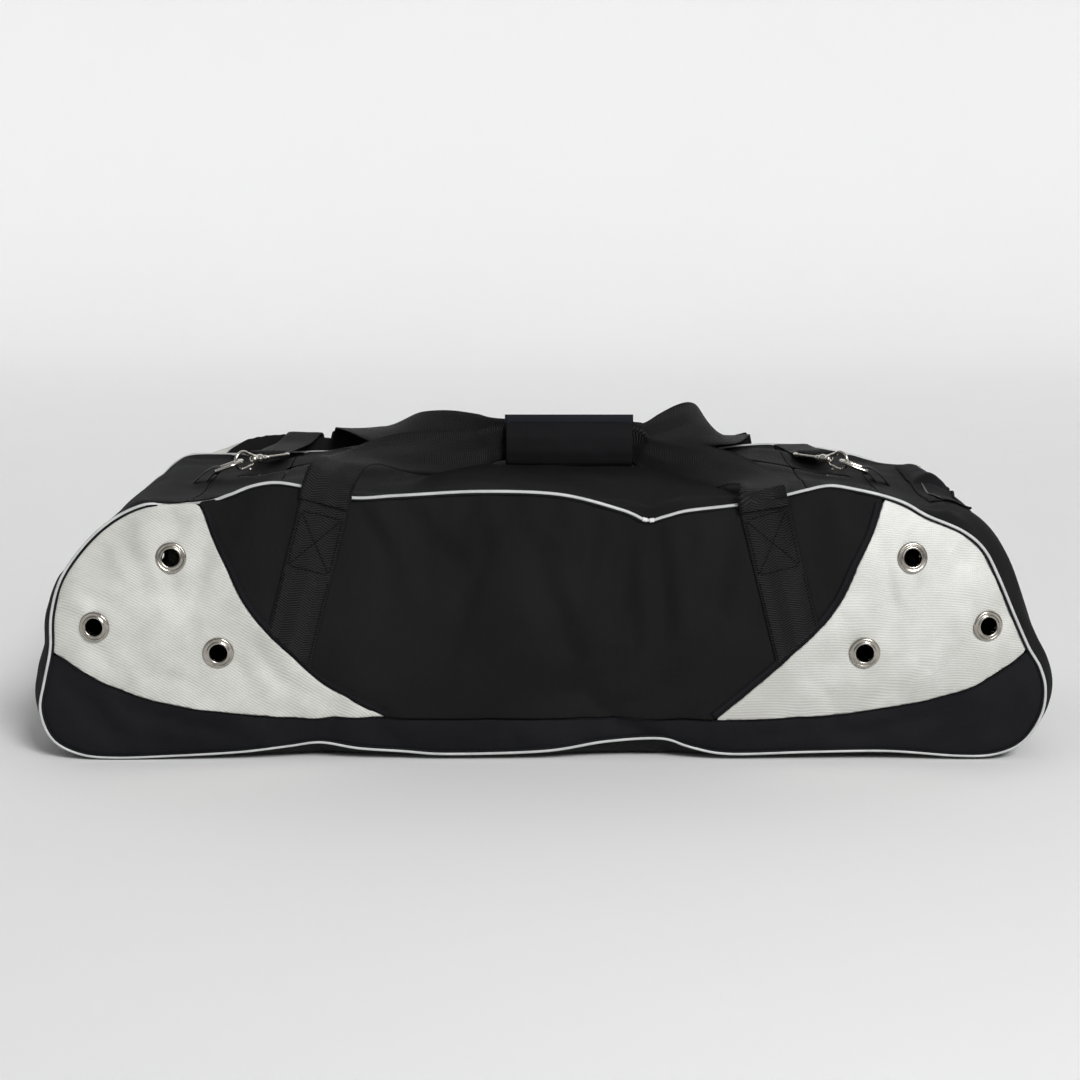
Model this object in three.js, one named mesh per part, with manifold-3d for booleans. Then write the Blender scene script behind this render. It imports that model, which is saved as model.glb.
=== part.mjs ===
// Hockey equipment bag, built from its sewn panels, webbing and hardware.
// Millimetres, +Z up. X runs along the bag, the front is at -Y, and the origin is
// the middle of the base on the surface that the bag stands on.
import * as THREE from 'three';
import { mergeVertices } from 'three/addons/utils/BufferGeometryUtils.js';
import Module from 'manifold-3d';

// Driving dimensions.
const HALF_LENGTH = 505;
const HALF_DEPTH = 200;
const HEIGHT = 264; // top surface of the empty shell
const WALL = 3; // fabric with its lining
const GAP = 0.3; // clearance between pieces that touch
const CORNER_RADIUS = 60;
const SHOULDER = new THREE.Vector2(393, 250); // where the end starts to turn down
const LID_HALF_LENGTH = 270; // zipped part of the top
const LID_RISE = 16; // how far the top arches up to the zip
const ARCH_HALF_LENGTH = 230; // level part of the arch
const TOP_SEAM_X = 350; // seam between the top and the end gusset
const BAND_HEIGHT = 45; // base band at the middle of the bag
const SILVER_TIP_X = 165;
const HANDLE_WIDTH = 50;
const STRAP_WIDTH = 38;
const WEBBING = 2;
const PIPING_RADIUS = 2.4;
const GROMMET_CENTRES = [[368, 204], [445, 136], [322, 111]];
const GROMMET_OUTER = 15.5;
const GROMMET_HOLE = 8.75;
const GROMMET_BARREL = 9.9;
const GROMMET_WASHER = 14;
const GROMMET_DEPTH = 6; // reach of the barrel behind the cloth
const LEG = { x: 229, z: 188, length: 125, lean: 15 };
const LOOP_EDGE_Y = 194.6; // where the loops leave the top edge
const WRAP = { x: 29, y: -18, z: 305.2, length: 132, height: 48, depth: 48, wall: 3 };
const ZIP_GAP = 14; // from the middle of the zip to the edge of the top
const ZIP_TAPE_WIDTH = 26;
const SLIDER = { length: 22, width: 10.4, height: 4.5 };
const LEFT_SLIDER_X = -174;
const RIGHT_SLIDER_X = -150;
const PULL = { length: 26, width: 6, thickness: 1.6 };
const RING = { barX: 346, z: 267, tilt: 20, halfWidth: 14, reach: 28, wire: 2 };
const TAB = { inner: 8, outer: 22, low: 262.7, high: 272 }; // webbing tab of a D-ring
const HOOK = { radius: 9.5, wire: 1.9, slant: 45, length: 34, slack: 1.5 };
const STRAP_X = 298;
const EYE_BAR_Y = 56;
const EYE_WIRE = 1.8;
const ADJUSTER = { x: -281, y: 218.4, z: 236, width: 46, height: 28, thickness: 3 };
const PAD = { halfLength: 130, y: 222.6, z: 64.6, width: 58, thickness: 13, bend: 9 };
const POCKET = { x: 414, z: 243.6, slope: 25.5, halfLength: 130 };

const zipTapeTop = HEIGHT - WALL - GAP;
const shellHalf = HALF_DEPTH - WALL - GAP; // half the depth of the gusset strip
const radians = THREE.MathUtils.degToRad;
const ringEnd = { // middle of the D-ring's bowed front
  x: RING.barX - RING.reach * Math.cos(radians(RING.tilt)),
  z: RING.z + RING.reach * Math.sin(radians(RING.tilt)),
};
const vec = (x, y, z) => new THREE.Vector3(x, y, z);

const colours = {
  black: { color: 0x1e1e20, roughness: 0.85, metalness: 0 },
  webbing: { color: 0x161617, roughness: 0.8, metalness: 0 },
  silver: { color: 0xcdcec8, roughness: 0.5, metalness: 0 },
  piping: { color: 0xb9bcbe, roughness: 0.4, metalness: 0 },
  nickel: { color: 0xd6d2c8, roughness: 0.25, metalness: 1 },
  zip: { color: 0x141415, roughness: 0.6, metalness: 0 },
};

const wasm = await Module();
wasm.setup();
const bag = new THREE.Group();

function add(name, geometry, colour, parent = bag) {
  const mesh = new THREE.Mesh(geometry, new THREE.MeshStandardMaterial(colours[colour]));
  mesh.name = name;
  parent.add(mesh);
  return mesh;
}

// Booleans.
function solid(geometry) {
  const bare = geometry.clone();
  bare.deleteAttribute('normal');
  bare.deleteAttribute('uv');
  const merged = mergeVertices(bare, 1e-4);
  return new wasm.Manifold(new wasm.Mesh({
    numProp: 3,
    vertProperties: new Float32Array(merged.attributes.position.array),
    triVerts: new Uint32Array(merged.index.array),
  }));
}

function geometryOf(manifold) {
  const mesh = manifold.getMesh();
  const geometry = new THREE.BufferGeometry();
  geometry.setAttribute('position', new THREE.BufferAttribute(mesh.vertProperties, 3));
  geometry.setIndex(new THREE.BufferAttribute(mesh.triVerts, 1));
  return geometry;
}

const cut = (body, ...tools) => tools.reduce((rest, tool) => rest.subtract(solid(tool)), body);

// A box from its lowest to its highest corner.
function box(low, high) {
  const size = high.map((value, axis) => value - low[axis]);
  const middle = high.map((value, axis) => (value + low[axis]) / 2);
  return new THREE.BoxGeometry(...size).translate(...middle);
}

// A flat shape drawn in X and Z, given depth from y0 to y1.
function plate(shape, y0, y1, curveSegments = 10) {
  const options = { depth: y1 - y0, bevelEnabled: false, curveSegments };
  return new THREE.ExtrudeGeometry(shape, options).rotateX(Math.PI / 2).translate(0, y1, 0);
}

// How far the top arches above its flat outline.
function arch(x, y) {
  const fade = (LID_HALF_LENGTH - Math.abs(x)) / (LID_HALF_LENGTH - ARCH_HALF_LENGTH);
  return LID_RISE * (1 - Math.abs(y) / shellHalf) * THREE.MathUtils.clamp(fade, 0, 1);
}

// A sheet of even thickness over a grid of X and Y, its flat outline at top plus the arch.
function archedSheet(xs, ys, top, thickness) {
  const points = [0, -thickness].flatMap((drop) => (
    xs.flatMap((x) => ys.flatMap((y) => [x, y, top + arch(x, y) + drop]))
  ));
  const rows = ys.length;
  const under = xs.length * rows;
  const index = [];
  const quad = (a, b, c, d) => index.push(a, b, c, a, c, d);
  for (let i = 0; i < xs.length - 1; i += 1) {
    for (let j = 0; j < rows - 1; j += 1) {
      const a = i * rows + j;
      quad(a, a + rows, a + rows + 1, a + 1);
      quad(under + a + 1, under + a + rows + 1, under + a + rows, under + a);
    }
  }
  const wall = (a, b) => quad(a, b, under + b, under + a);
  for (let i = 0; i < xs.length - 1; i += 1) {
    wall((i + 1) * rows, i * rows);
    wall(i * rows + rows - 1, (i + 1) * rows + rows - 1);
  }
  for (let j = 0; j < rows - 1; j += 1) {
    wall(j, j + 1);
    wall(under - rows + j + 1, under - rows + j);
  }
  const geometry = new THREE.BufferGeometry();
  geometry.setAttribute('position', new THREE.Float32BufferAttribute(points, 3));
  geometry.setIndex(index);
  return geometry;
}

// Grid lines along the arched top out to reach.
function archLines(reach) {
  const step = (LID_HALF_LENGTH - ARCH_HALF_LENGTH) / 4;
  const right = [0, 1, 2, 3].map((i) => ARCH_HALF_LENGTH + i * step).concat(reach);
  return [...right.map((x) => -x).reverse(), ...right];
}

// A rod of round section along a curve.
function rod(curve, radius, steps, sides = 8) {
  const section = new THREE.Shape();
  for (let side = 0; side < sides; side += 1) {
    const angle = (2 * Math.PI * side) / sides;
    const point = [radius * Math.cos(angle), radius * Math.sin(angle)];
    if (side === 0) section.moveTo(...point);
    else section.lineTo(...point);
  }
  const options = { steps, bevelEnabled: false, extrudePath: curve, curveSegments: 1 };
  return new THREE.ExtrudeGeometry(section, options);
}

// Flat webbing along a smooth path. Each station is [x, y, z, across x, y, z, width].
function webbing(stations, thickness, steps) {
  const middle = new THREE.CatmullRomCurve3(stations.map((s) => vec(s[0], s[1], s[2])));
  const across = new THREE.CatmullRomCurve3(stations.map((s) => vec(s[3], s[4], s[5])));
  const widths = new THREE.CatmullRomCurve3(stations.map((s) => vec(s[6], 0, 0)));
  const corners = [];
  for (let step = 0; step <= steps; step += 1) {
    const t = step / steps;
    const centre = middle.getPoint(t);
    const along = middle.getTangent(t);
    const side = across.getPoint(t).projectOnPlane(along).setLength(widths.getPoint(t).x / 2);
    const face = along.clone().cross(side).setLength(thickness / 2);
    for (const [a, b] of [[1, 1], [-1, 1], [-1, -1], [1, -1]]) {
      corners.push(...centre.clone().addScaledVector(side, a).addScaledVector(face, b));
    }
  }
  const index = [0, 2, 1, 0, 3, 2];
  for (let step = 0; step < steps; step += 1) {
    for (let side = 0; side < 4; side += 1) {
      const a = 4 * step + side;
      const b = 4 * step + ((side + 1) % 4);
      index.push(a, b, b + 4, a, b + 4, a + 4);
    }
  }
  const last = 4 * steps;
  index.push(last, last + 1, last + 2, last, last + 2, last + 3);
  const geometry = new THREE.BufferGeometry();
  geometry.setAttribute('position', new THREE.Float32BufferAttribute(corners, 3));
  geometry.setIndex(index);
  return geometry;
}

// The outline of the bag's front and back in X and Z, moved inward by inset.
function outline(inset) {
  const radius = CORNER_RADIUS - inset;
  const side = HALF_LENGTH - inset;
  const corner = HALF_LENGTH - CORNER_RADIUS;
  const shape = new THREE.Shape();
  shape.moveTo(-corner, inset);
  shape.lineTo(corner, inset);
  shape.absarc(corner, CORNER_RADIUS, radius, -Math.PI / 2, 0);
  shape.bezierCurveTo(side - 17, 130, side - 27, 232 - inset, SHOULDER.x - inset / 2, SHOULDER.y - inset);
  shape.bezierCurveTo(365, 256 - inset, 340, HEIGHT - inset, 300, HEIGHT - inset);
  shape.lineTo(-300, HEIGHT - inset);
  shape.bezierCurveTo(-340, HEIGHT - inset, -365, 256 - inset, inset / 2 - SHOULDER.x, SHOULDER.y - inset);
  shape.bezierCurveTo(27 - side, 232 - inset, 17 - side, 130, -side, CORNER_RADIUS);
  shape.absarc(-corner, CORNER_RADIUS, radius, Math.PI, 1.5 * Math.PI);
  return shape;
}

// A thin prism along a line in X and Z that parts two panels.
function seamCut(points) {
  const left = [];
  const right = [];
  points.forEach((point, i) => {
    const before = points[Math.max(i - 1, 0)];
    const after = points[Math.min(i + 1, points.length - 1)];
    const along = after.clone().sub(before).normalize();
    const aside = new THREE.Vector2(-along.y, along.x).multiplyScalar(GAP);
    left.push(point.clone().add(aside));
    right.unshift(point.clone().sub(aside));
  });
  return plate(new THREE.Shape([...left, ...right]), -HALF_DEPTH - 10, HALF_DEPTH + 10);
}

function silverSeam(side) {
  const curve = new THREE.CubicBezierCurve(
    new THREE.Vector2(side * 341, 270),
    new THREE.Vector2(side * 312, 160),
    new THREE.Vector2(side * 258, 100),
    new THREE.Vector2(side * (SILVER_TIP_X - 3), BAND_HEIGHT - 2),
  );
  return seamCut(curve.getPoints(14));
}

function bandSeam() {
  const end = (side) => new THREE.CubicBezierCurve(
    new THREE.Vector2(side * SILVER_TIP_X, BAND_HEIGHT),
    new THREE.Vector2(side * 290, BAND_HEIGHT - 2),
    new THREE.Vector2(side * 415, 56),
    new THREE.Vector2(side * 510, 124),
  ).getPoints(12);
  return seamCut([...end(-1).reverse(), ...end(1)]);
}

// Front and back: centre panel, two silver end panels with eyelet holes, base band.
function sidePanels(face, y0, y1) {
  const holes = GROMMET_CENTRES.flatMap(([x, z]) => [-1, 1].map((side) => (
    new THREE.CylinderGeometry(10.5, 10.5, 40, 16).translate(side * x, (y0 + y1) / 2, z)
  )));
  const whole = solid(plate(outline(0), y0, y1));
  const parts = cut(whole, silverSeam(-1), silverSeam(1), bandSeam(), ...holes).decompose();
  for (const part of parts) {
    const { min, max } = part.boundingBox();
    const middle = (min[0] + max[0]) / 2;
    let name = `${face}_silver_panel_${middle < 0 ? 'left' : 'right'}`;
    if (min[2] < 1) name = `${face}_base_band`;
    else if (Math.abs(middle) < 50) name = `${face}_centre_panel`;
    add(name, geometryOf(part), name.includes('silver') ? 'silver' : 'black');
  }
}

// The strip between front and back, parted into base, end gussets, top ends and lids.
function gussetStrip() {
  const outer = solid(plate(outline(0), -shellHalf, shellHalf));
  const strip = cut(outer, plate(outline(WALL), -HALF_DEPTH - 5, HALF_DEPTH + 5));
  const wide = HALF_DEPTH + 5;
  const slot = (x, z0, z1) => box([x - GAP, -wide, z0], [x + GAP, wide, z1]);
  const corner = HALF_LENGTH - CORNER_RADIUS;
  const lidSpace = box([-LID_HALF_LENGTH, -wide, 200], [LID_HALF_LENGTH, wide, 300]);
  const slots = [-1, 1].flatMap((side) => [
    slot(side * corner, -5, 10),
    slot(side * TOP_SEAM_X, 200, 300),
  ]);
  for (const part of cut(strip, lidSpace, ...slots).decompose()) {
    const { min, max } = part.boundingBox();
    const middle = (min[0] + max[0]) / 2;
    const end = middle < 0 ? 'left' : 'right';
    let name = `end_gusset_${end}`;
    if (max[2] < 20) name = 'bottom_panel';
    else if (min[2] > 200) name = `top_end_panel_${end}`;
    add(name, geometryOf(part), 'black');
  }
}

// The two halves of the zipped top. The zip lies in the gap between them.
function lids() {
  const xs = archLines(LID_HALF_LENGTH - 2 * GAP);
  const back = [ZIP_GAP, ZIP_TAPE_WIDTH, shellHalf];
  const front = back.map((y) => -y).reverse();
  add('top_front_panel', archedSheet(xs, front, HEIGHT, WALL), 'black');
  add('top_back_panel', archedSheet(xs, back, HEIGHT, WALL), 'black');
}

// Reflective piping around one face, its two ends butted at the middle of the base.
function piping(name, y) {
  const inset = 3;
  const loop = outline(inset).getPoints(8).map((p) => vec(p.x, y, p.y));
  const start = vec(1, y, inset);
  const finish = vec(-1, y, inset);
  const rim = loop.slice(1).filter((p, i, all) => i === 0 || p.distanceTo(all[i - 1]) > 0.5);
  const path = new THREE.CurvePath();
  const stops = [start, ...rim, finish];
  stops.slice(1).forEach((p, i) => path.add(new THREE.LineCurve3(stops[i], p)));
  const smooth = new THREE.CatmullRomCurve3(path.getSpacedPoints(72));
  add(name, rod(smooth, PIPING_RADIUS, 108, 6), 'piping');
}

// Eyelets: a rolled flange outside, a barrel through the cloth and a washer inside.
function grommets() {
  const profile = [
    [GROMMET_HOLE, -GROMMET_DEPTH], [GROMMET_HOLE, 2.2], [GROMMET_HOLE + 3, 3.2],
    [GROMMET_OUTER, GAP], [GROMMET_BARREL, GAP], [GROMMET_BARREL, -WALL - GAP],
    [GROMMET_WASHER, -WALL - GAP], [GROMMET_WASHER, -WALL - 1.8], [GROMMET_HOLE, -GROMMET_DEPTH],
  ].map(([r, h]) => new THREE.Vector2(r, h)).reverse();
  for (const [face, turn, y] of [['front', Math.PI, -HALF_DEPTH], ['back', 0, HALF_DEPTH]]) {
    GROMMET_CENTRES.forEach(([x, z], row) => {
      for (const side of [-1, 1]) {
        const ring = new THREE.LatheGeometry(profile, 14).rotateX(turn).translate(side * x, y, z);
        const end = side < 0 ? 'left' : 'right';
        add(`${face}_grommet_${end}_${row + 1}`, ring, 'nickel');
      }
    });
  }
}

// The two sewn-down legs of one handle and its free loop.
function handle(face, sign) {
  const seat = sign * (HALF_DEPTH + GAP + WEBBING / 2);
  for (const [end, side] of [['left', -1], ['right', 1]]) {
    const leg = new THREE.BoxGeometry(HANDLE_WIDTH, WEBBING, LEG.length);
    leg.rotateY(-side * radians(LEG.lean)).translate(side * LEG.x, seat, LEG.z);
    add(`${face}_handle_leg_${end}`, leg, 'webbing');
  }
  const edge = sign * LOOP_EDGE_Y;
  const inner = WRAP.y + sign * 8;
  const lift = WRAP.z - 0.7;
  const inWrap = 38;
  const stations = [
    [-213, edge, 268.2, 1, 0, 0, HANDLE_WIDTH],
    [-206, sign * 172, 281, 1, 0, 0.1, HANDLE_WIDTH],
    [-176, sign * 112, 292, 0.9, 0, 0.5, HANDLE_WIDTH],
    [-120, WRAP.y / 2 + sign * 50, 302, 0.5, -sign * 0.2, 0.9, HANDLE_WIDTH],
    [-70, WRAP.y + sign * 16, lift, 0.1, 0, 1, 42],
    [-37, inner, lift, 0, 0, 1, inWrap],
    [WRAP.x, inner, lift, 0, 0, 1, inWrap],
    [95, inner, lift, 0, 0, 1, inWrap],
    [126, WRAP.y + sign * 17, lift, -0.1, 0, 1, 42],
    [164, WRAP.y / 2 + sign * 60, 303, -0.5, -sign * 0.2, 0.9, HANDLE_WIDTH],
    [200, sign * 128, 292, -0.9, 0, 0.5, HANDLE_WIDTH],
    [217, sign * 175, 281, -1, 0, 0.1, HANDLE_WIDTH],
    [219, edge, 268.2, -1, 0, 0, HANDLE_WIDTH],
  ];
  add(`${face}_handle_loop`, webbing(stations, WEBBING, 44), 'webbing');
}

// Padded wrap around both loops, open along its front, and the flap that closes it.
function wrap() {
  const { x, y, z, length, height, depth, wall } = WRAP;
  const ring = (h, d, from, to) => {
    const shape = new THREE.Shape();
    const r = Math.min(h, d) * 0.3;
    shape.moveTo(-d / 2 + r, -h / 2);
    shape.lineTo(d / 2 - r, -h / 2);
    shape.absarc(d / 2 - r, -h / 2 + r, r, -Math.PI / 2, 0);
    shape.lineTo(d / 2, h / 2 - r);
    shape.absarc(d / 2 - r, h / 2 - r, r, 0, Math.PI / 2);
    shape.lineTo(-d / 2 + r, h / 2);
    shape.absarc(-d / 2 + r, h / 2 - r, r, Math.PI / 2, Math.PI);
    shape.lineTo(-d / 2, -h / 2 + r);
    shape.absarc(-d / 2 + r, -h / 2 + r, r, Math.PI, 1.5 * Math.PI);
    const options = { depth: to - from, bevelEnabled: false, curveSegments: 4 };
    const body = new THREE.ExtrudeGeometry(shape, options);
    return body.rotateX(Math.PI / 2).rotateZ(Math.PI / 2).translate(from, y, z);
  };
  const low = x - length / 2;
  const high = x + length / 2;
  const sleeve = solid(ring(height, depth, low, high));
  const bore = ring(height - 2 * wall, depth - 2 * wall, low - 5, high + 5);
  const face = y - depth / 2;
  const slit = box([low - 5, face - wall, z + 2], [high + 5, face + wall + 1, z + 10]);
  add('handle_wrap', geometryOf(cut(sleeve, bore, slit)), 'black');
  const flap = box([low, -GAP - wall, 3 - height / 2], [high, -GAP, height / 2 - 1]);
  add('wrap_flap', flap.translate(0, face, z), 'black');
}

// Zip tapes under the lid edges, with sliders on the front tape and a pull on each.
function lengthZip() {
  const xs = archLines(LID_HALF_LENGTH - WALL);
  const back = [0.4, ZIP_GAP, ZIP_TAPE_WIDTH];
  const front = back.map((y) => -y).reverse();
  add('front_zip_tape', archedSheet(xs, front, zipTapeTop, WEBBING), 'zip');
  add('back_zip_tape', archedSheet(xs, back, zipTapeTop, WEBBING), 'zip');
  for (const [end, x, side] of [['left', LEFT_SLIDER_X, -1], ['right', RIGHT_SLIDER_X, 1]]) {
    const { length, width, height } = SLIDER;
    const bottom = zipTapeTop + LID_RISE + GAP;
    const body = box([x - length / 2, -0.6 - width, bottom], [x + length / 2, -0.6, bottom + height]);
    add(`zip_slider_${end}`, body, 'nickel');
    const ends = [x, x + side * PULL.length].sort((a, b) => a - b);
    const rest = bottom + height + 1;
    const pull = box([ends[0], -9, rest], [ends[1], PULL.width - 9, rest + PULL.thickness]);
    add(`zip_pull_${end}`, pull, 'nickel');
  }
}

// D-ring: a bar held in the tab, two straight sides and a bowed front.
function dRing(side) {
  const { barX, z: barZ, tilt, halfWidth, reach, wire } = RING;
  const end = side < 0 ? 'left' : 'right';
  const path = new THREE.CurvePath();
  const at = (distance, y) => vec(-side * distance, y, 0);
  const knee = reach * 0.5;
  const bulge = reach * 1.17;
  path.add(new THREE.LineCurve3(at(0, -1), at(0, -halfWidth)));
  path.add(new THREE.LineCurve3(at(0, -halfWidth), at(knee, -halfWidth)));
  path.add(new THREE.CubicBezierCurve3(
    at(knee, -halfWidth), at(bulge, -halfWidth), at(bulge, halfWidth), at(knee, halfWidth),
  ));
  path.add(new THREE.LineCurve3(at(knee, halfWidth), at(0, halfWidth)));
  path.add(new THREE.LineCurve3(at(0, halfWidth), at(0, 1)));
  const round = new THREE.CatmullRomCurve3(path.getSpacedPoints(28));
  const ring = rod(round, wire, 44, 8).rotateY(side * radians(tilt)).translate(side * barX, 0, barZ);
  add(`dring_${end}`, ring, 'nickel');

  const width = halfWidth - wire - 1.5;
  const sides = [side * (barX - TAB.inner), side * (barX + TAB.outer)].sort((a, b) => a - b);
  const tab = box([sides[0], -width, TAB.low], [sides[1], width, TAB.high]);
  const space = wire + 4 * GAP;
  const low = [side * barX - space, -2 * halfWidth, barZ - space];
  const channel = box(low, [side * barX + space, 2 * halfWidth, barZ + space]);
  add(`dring_tab_${end}`, geometryOf(cut(solid(tab), channel)), 'webbing');
}

// Snap hook: an open bow on a barrel, its sprung gate, and the wire eye for the strap.
function snapHook(side) {
  const { radius, wire, slant, length, slack } = HOOK;
  const end = side < 0 ? 'left' : 'right';
  const place = (geometry) => geometry
    .translate(0, slack, 0)
    .rotateZ(side * radians(slant))
    .translate(side * ringEnd.x, 0, ringEnd.z);
  const angles = (from, to, count) => Array.from({ length: count + 1 }, (unused, i) => (
    radians(from + ((to - from) * i) / count)
  ));
  const arc = angles(0, 248, 14).map((a) => vec(0, radius * Math.cos(a), radius * Math.sin(a)));
  const bow = solid(rod(new THREE.CatmullRomCurve3(arc), wire, 20, 8));
  const neck = new THREE.CylinderGeometry(3.4, 3.4, 8, 10).translate(0, radius + 3.5, 0);
  const barrel = new THREE.CylinderGeometry(5, 5, length - 15, 12).translate(0, (length + 15) / 2, 0);
  const hook = bow.add(solid(neck)).add(solid(barrel));
  add(`hook_${end}`, place(geometryOf(hook)), 'nickel');

  const tip = radians(256);
  const from = vec(0, radius + 4.5, -5);
  const to = vec(0, radius * Math.cos(tip) + 1.2, radius * Math.sin(tip));
  const gate = rod(new THREE.LineCurve3(from, to), 1.4, 1, 6);
  add(`hook_gate_${end}`, place(gate), 'nickel');

  const centre = side * STRAP_X;
  const y0 = (length + slack) * Math.cos(radians(slant)) + 6.5;
  const half = STRAP_WIDTH / 2 + 2.5;
  const corners = [
    [-1, EYE_BAR_Y], [-half, EYE_BAR_Y], [-half, EYE_BAR_Y - 5], [-6, y0], [6, y0],
    [half, EYE_BAR_Y - 5], [half, EYE_BAR_Y], [1, EYE_BAR_Y],
  ].map(([across, y]) => vec(centre + across, y, ringEnd.z));
  const loop = new THREE.CatmullRomCurve3(corners, false, 'catmullrom', 0.15);
  add(`swivel_eye_${end}`, rod(loop, EYE_WIRE, 34, 6), 'nickel');
}

// Shoulder strap: from both eyes back over the top and down behind the bag.
function shoulderStrap() {
  const half = [
    [STRAP_X, EYE_BAR_Y + 4, ringEnd.z, 1, 0, 0],
    [STRAP_X, 90, 270.5, 1, 0, 0],
    [297, 140, 267.4, 1, 0.05, 0],
    [291, 194, 267, 1, 0.12, 0],
    [289, 208, 263.5, 1, 0.14, 0],
    [286, 212.5, 250, 1, 0.16, -0.05],
    [278, 213.5, 222, 0.96, 0.2, -0.26],
    [264, 214, 180, 0.9, 0.24, -0.4],
    [232, 214, 134, 0.74, 0.28, -0.66],
    [184, 214, 94, 0.5, 0.3, -0.86],
    [125, 214, 73, 0.25, 0.3, -0.95],
    [0, 214, 62, 0, 0.3, -0.95],
  ];
  const left = half.slice(0, -1).map(([x, y, z, a, b, c]) => [-x, y, z, -a, b, c, STRAP_WIDTH]);
  const right = half.slice().reverse().map(([x, y, z, a, b, c]) => [x, y, z, a, b, c, STRAP_WIDTH]);
  add('strap_webbing', webbing([...left, ...right], WEBBING, 84), 'webbing');

  const pad = (part) => (
    [part * PAD.halfLength, PAD.y, PAD.z + PAD.bend * part ** 2, 0, 0.3, -0.95, PAD.width]
  );
  add('shoulder_pad', webbing([-1, -0.5, 0, 0.5, 1].map(pad), PAD.thickness, 8), 'silver');

  const { x, y, z, width, height, thickness } = ADJUSTER;
  const window = (x0, z0, x1, z1) => box([x + x0, y - 5, z + z0], [x + x1, y + 10, z + z1]);
  const frame = box(
    [x - width / 2, y, z - height / 2], [x + width / 2, y + thickness, z + height / 2],
  );
  const side = width / 2 - 3.5;
  const holes = [window(-side, -10, side, -2), window(-side, 2, side, 10)];
  add('strap_adjuster', geometryOf(cut(solid(frame), ...holes)), 'nickel');
}

// Zipped pocket across the right end: tape, slider, pull and the flap that covers them.
function endPocket() {
  const pocket = new THREE.Group();
  const { x, z, slope, halfLength } = POCKET;
  pocket.position.set(x, 0, z);
  pocket.rotation.y = radians(slope);
  bag.add(pocket);
  add('end_pocket_zip', box([-13, -halfLength, 1.4], [13, halfLength, 3.4]), 'zip', pocket);
  add('end_pocket_slider', box([-5.2, 105, 3.7], [5.2, 125, 7.7]), 'nickel', pocket);
  add('end_pocket_pull', box([-3, 89, 8.7], [3, 115, 10.3]), 'nickel', pocket);
  add('end_pocket_flap', box([-19, -halfLength - 6, 11.6], [19, halfLength + 6, 14.2]), 'black', pocket);
}

sidePanels('front', -HALF_DEPTH, WALL - HALF_DEPTH);
sidePanels('back', HALF_DEPTH - WALL, HALF_DEPTH);
gussetStrip();
lids();
piping('front_piping', -HALF_DEPTH - PIPING_RADIUS - GAP);
piping('back_piping', HALF_DEPTH + PIPING_RADIUS + GAP);
grommets();
handle('front', -1);
handle('back', 1);
wrap();
lengthZip();
for (const side of [-1, 1]) {
  dRing(side);
  snapHook(side);
}
shoulderStrap();
endPocket();

export default bag;
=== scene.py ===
import functools
import math

import bpy
import numpy as np
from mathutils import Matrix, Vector, noise
from mathutils.bvhtree import BVHTree
from mathutils.geometry import delaunay_2d_cdt
from mathutils.kdtree import KDTree


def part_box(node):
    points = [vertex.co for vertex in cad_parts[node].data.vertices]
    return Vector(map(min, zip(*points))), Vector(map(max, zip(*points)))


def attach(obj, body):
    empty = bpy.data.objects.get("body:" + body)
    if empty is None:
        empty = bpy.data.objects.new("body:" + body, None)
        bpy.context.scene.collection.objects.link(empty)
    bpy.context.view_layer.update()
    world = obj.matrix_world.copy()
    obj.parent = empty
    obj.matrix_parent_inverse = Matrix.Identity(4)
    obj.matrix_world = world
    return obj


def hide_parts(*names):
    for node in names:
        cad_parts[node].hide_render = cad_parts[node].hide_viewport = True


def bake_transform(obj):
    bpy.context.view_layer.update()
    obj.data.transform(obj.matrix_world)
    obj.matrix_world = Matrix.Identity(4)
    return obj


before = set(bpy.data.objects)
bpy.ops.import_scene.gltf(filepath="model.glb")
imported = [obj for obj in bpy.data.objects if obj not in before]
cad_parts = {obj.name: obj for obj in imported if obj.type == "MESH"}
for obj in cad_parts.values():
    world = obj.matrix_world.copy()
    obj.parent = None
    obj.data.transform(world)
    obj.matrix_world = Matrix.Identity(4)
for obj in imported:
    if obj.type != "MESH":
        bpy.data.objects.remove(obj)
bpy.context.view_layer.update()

MM = 0.001
UV_MIDDLE = 100.0  # where the middle of a piece of webbing lies on its map


def cad(node):
    """Lowest and highest corner of a CAD node in millimetres."""
    low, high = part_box(node)
    return np.array(low) / MM, np.array(high) / MM


HALF_DEPTH = cad("back_centre_panel")[1][1]
TOP = cad("top_front_panel")[1][2]
LID_END = cad("top_front_panel")[1][0]
TOP_SEAM_X = cad("top_end_panel_right")[1][0]
BASE_SEAM_X = cad("bottom_panel")[1][0]
FACE_Y = HALF_DEPTH - 1.5  # the sewn edge of the front and back
CELL = 10.0  # spacing of the cloth's points
CLOTH = 1.6  # thickness of a fabric panel
LOOP_POINTS = 250  # round the sewn edge
ROWS = 40  # cells from front to back
FLOOR = 1.7  # height of the lowest cloth
UPPER = 200.0  # the outline's top part lies above this height
FAR = 400.0  # rays at a face start this far out
END = {-1: "left", 1: "right"}
FACES = (("front", -1, 0), ("back", 1, ROWS))  # with the sign of Y and the row of the strip

# ---------------------------------------------------------------- camera, floor, lights


def link(name, data):
    """A new object in the scene that shows the data."""
    made = bpy.data.objects.new(name, data)
    bpy.context.scene.collection.objects.link(made)
    return made


def look_from(location, pitch, lens):
    """A camera that looks along +Y, pitch degrees down."""
    data = bpy.data.cameras.new("camera")
    data.lens = lens
    data.sensor_width = 36
    camera = link("camera", data)
    camera.location = location
    camera.rotation_euler = (math.radians(90 - pitch), 0, 0)
    bpy.context.scene.camera = camera


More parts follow.
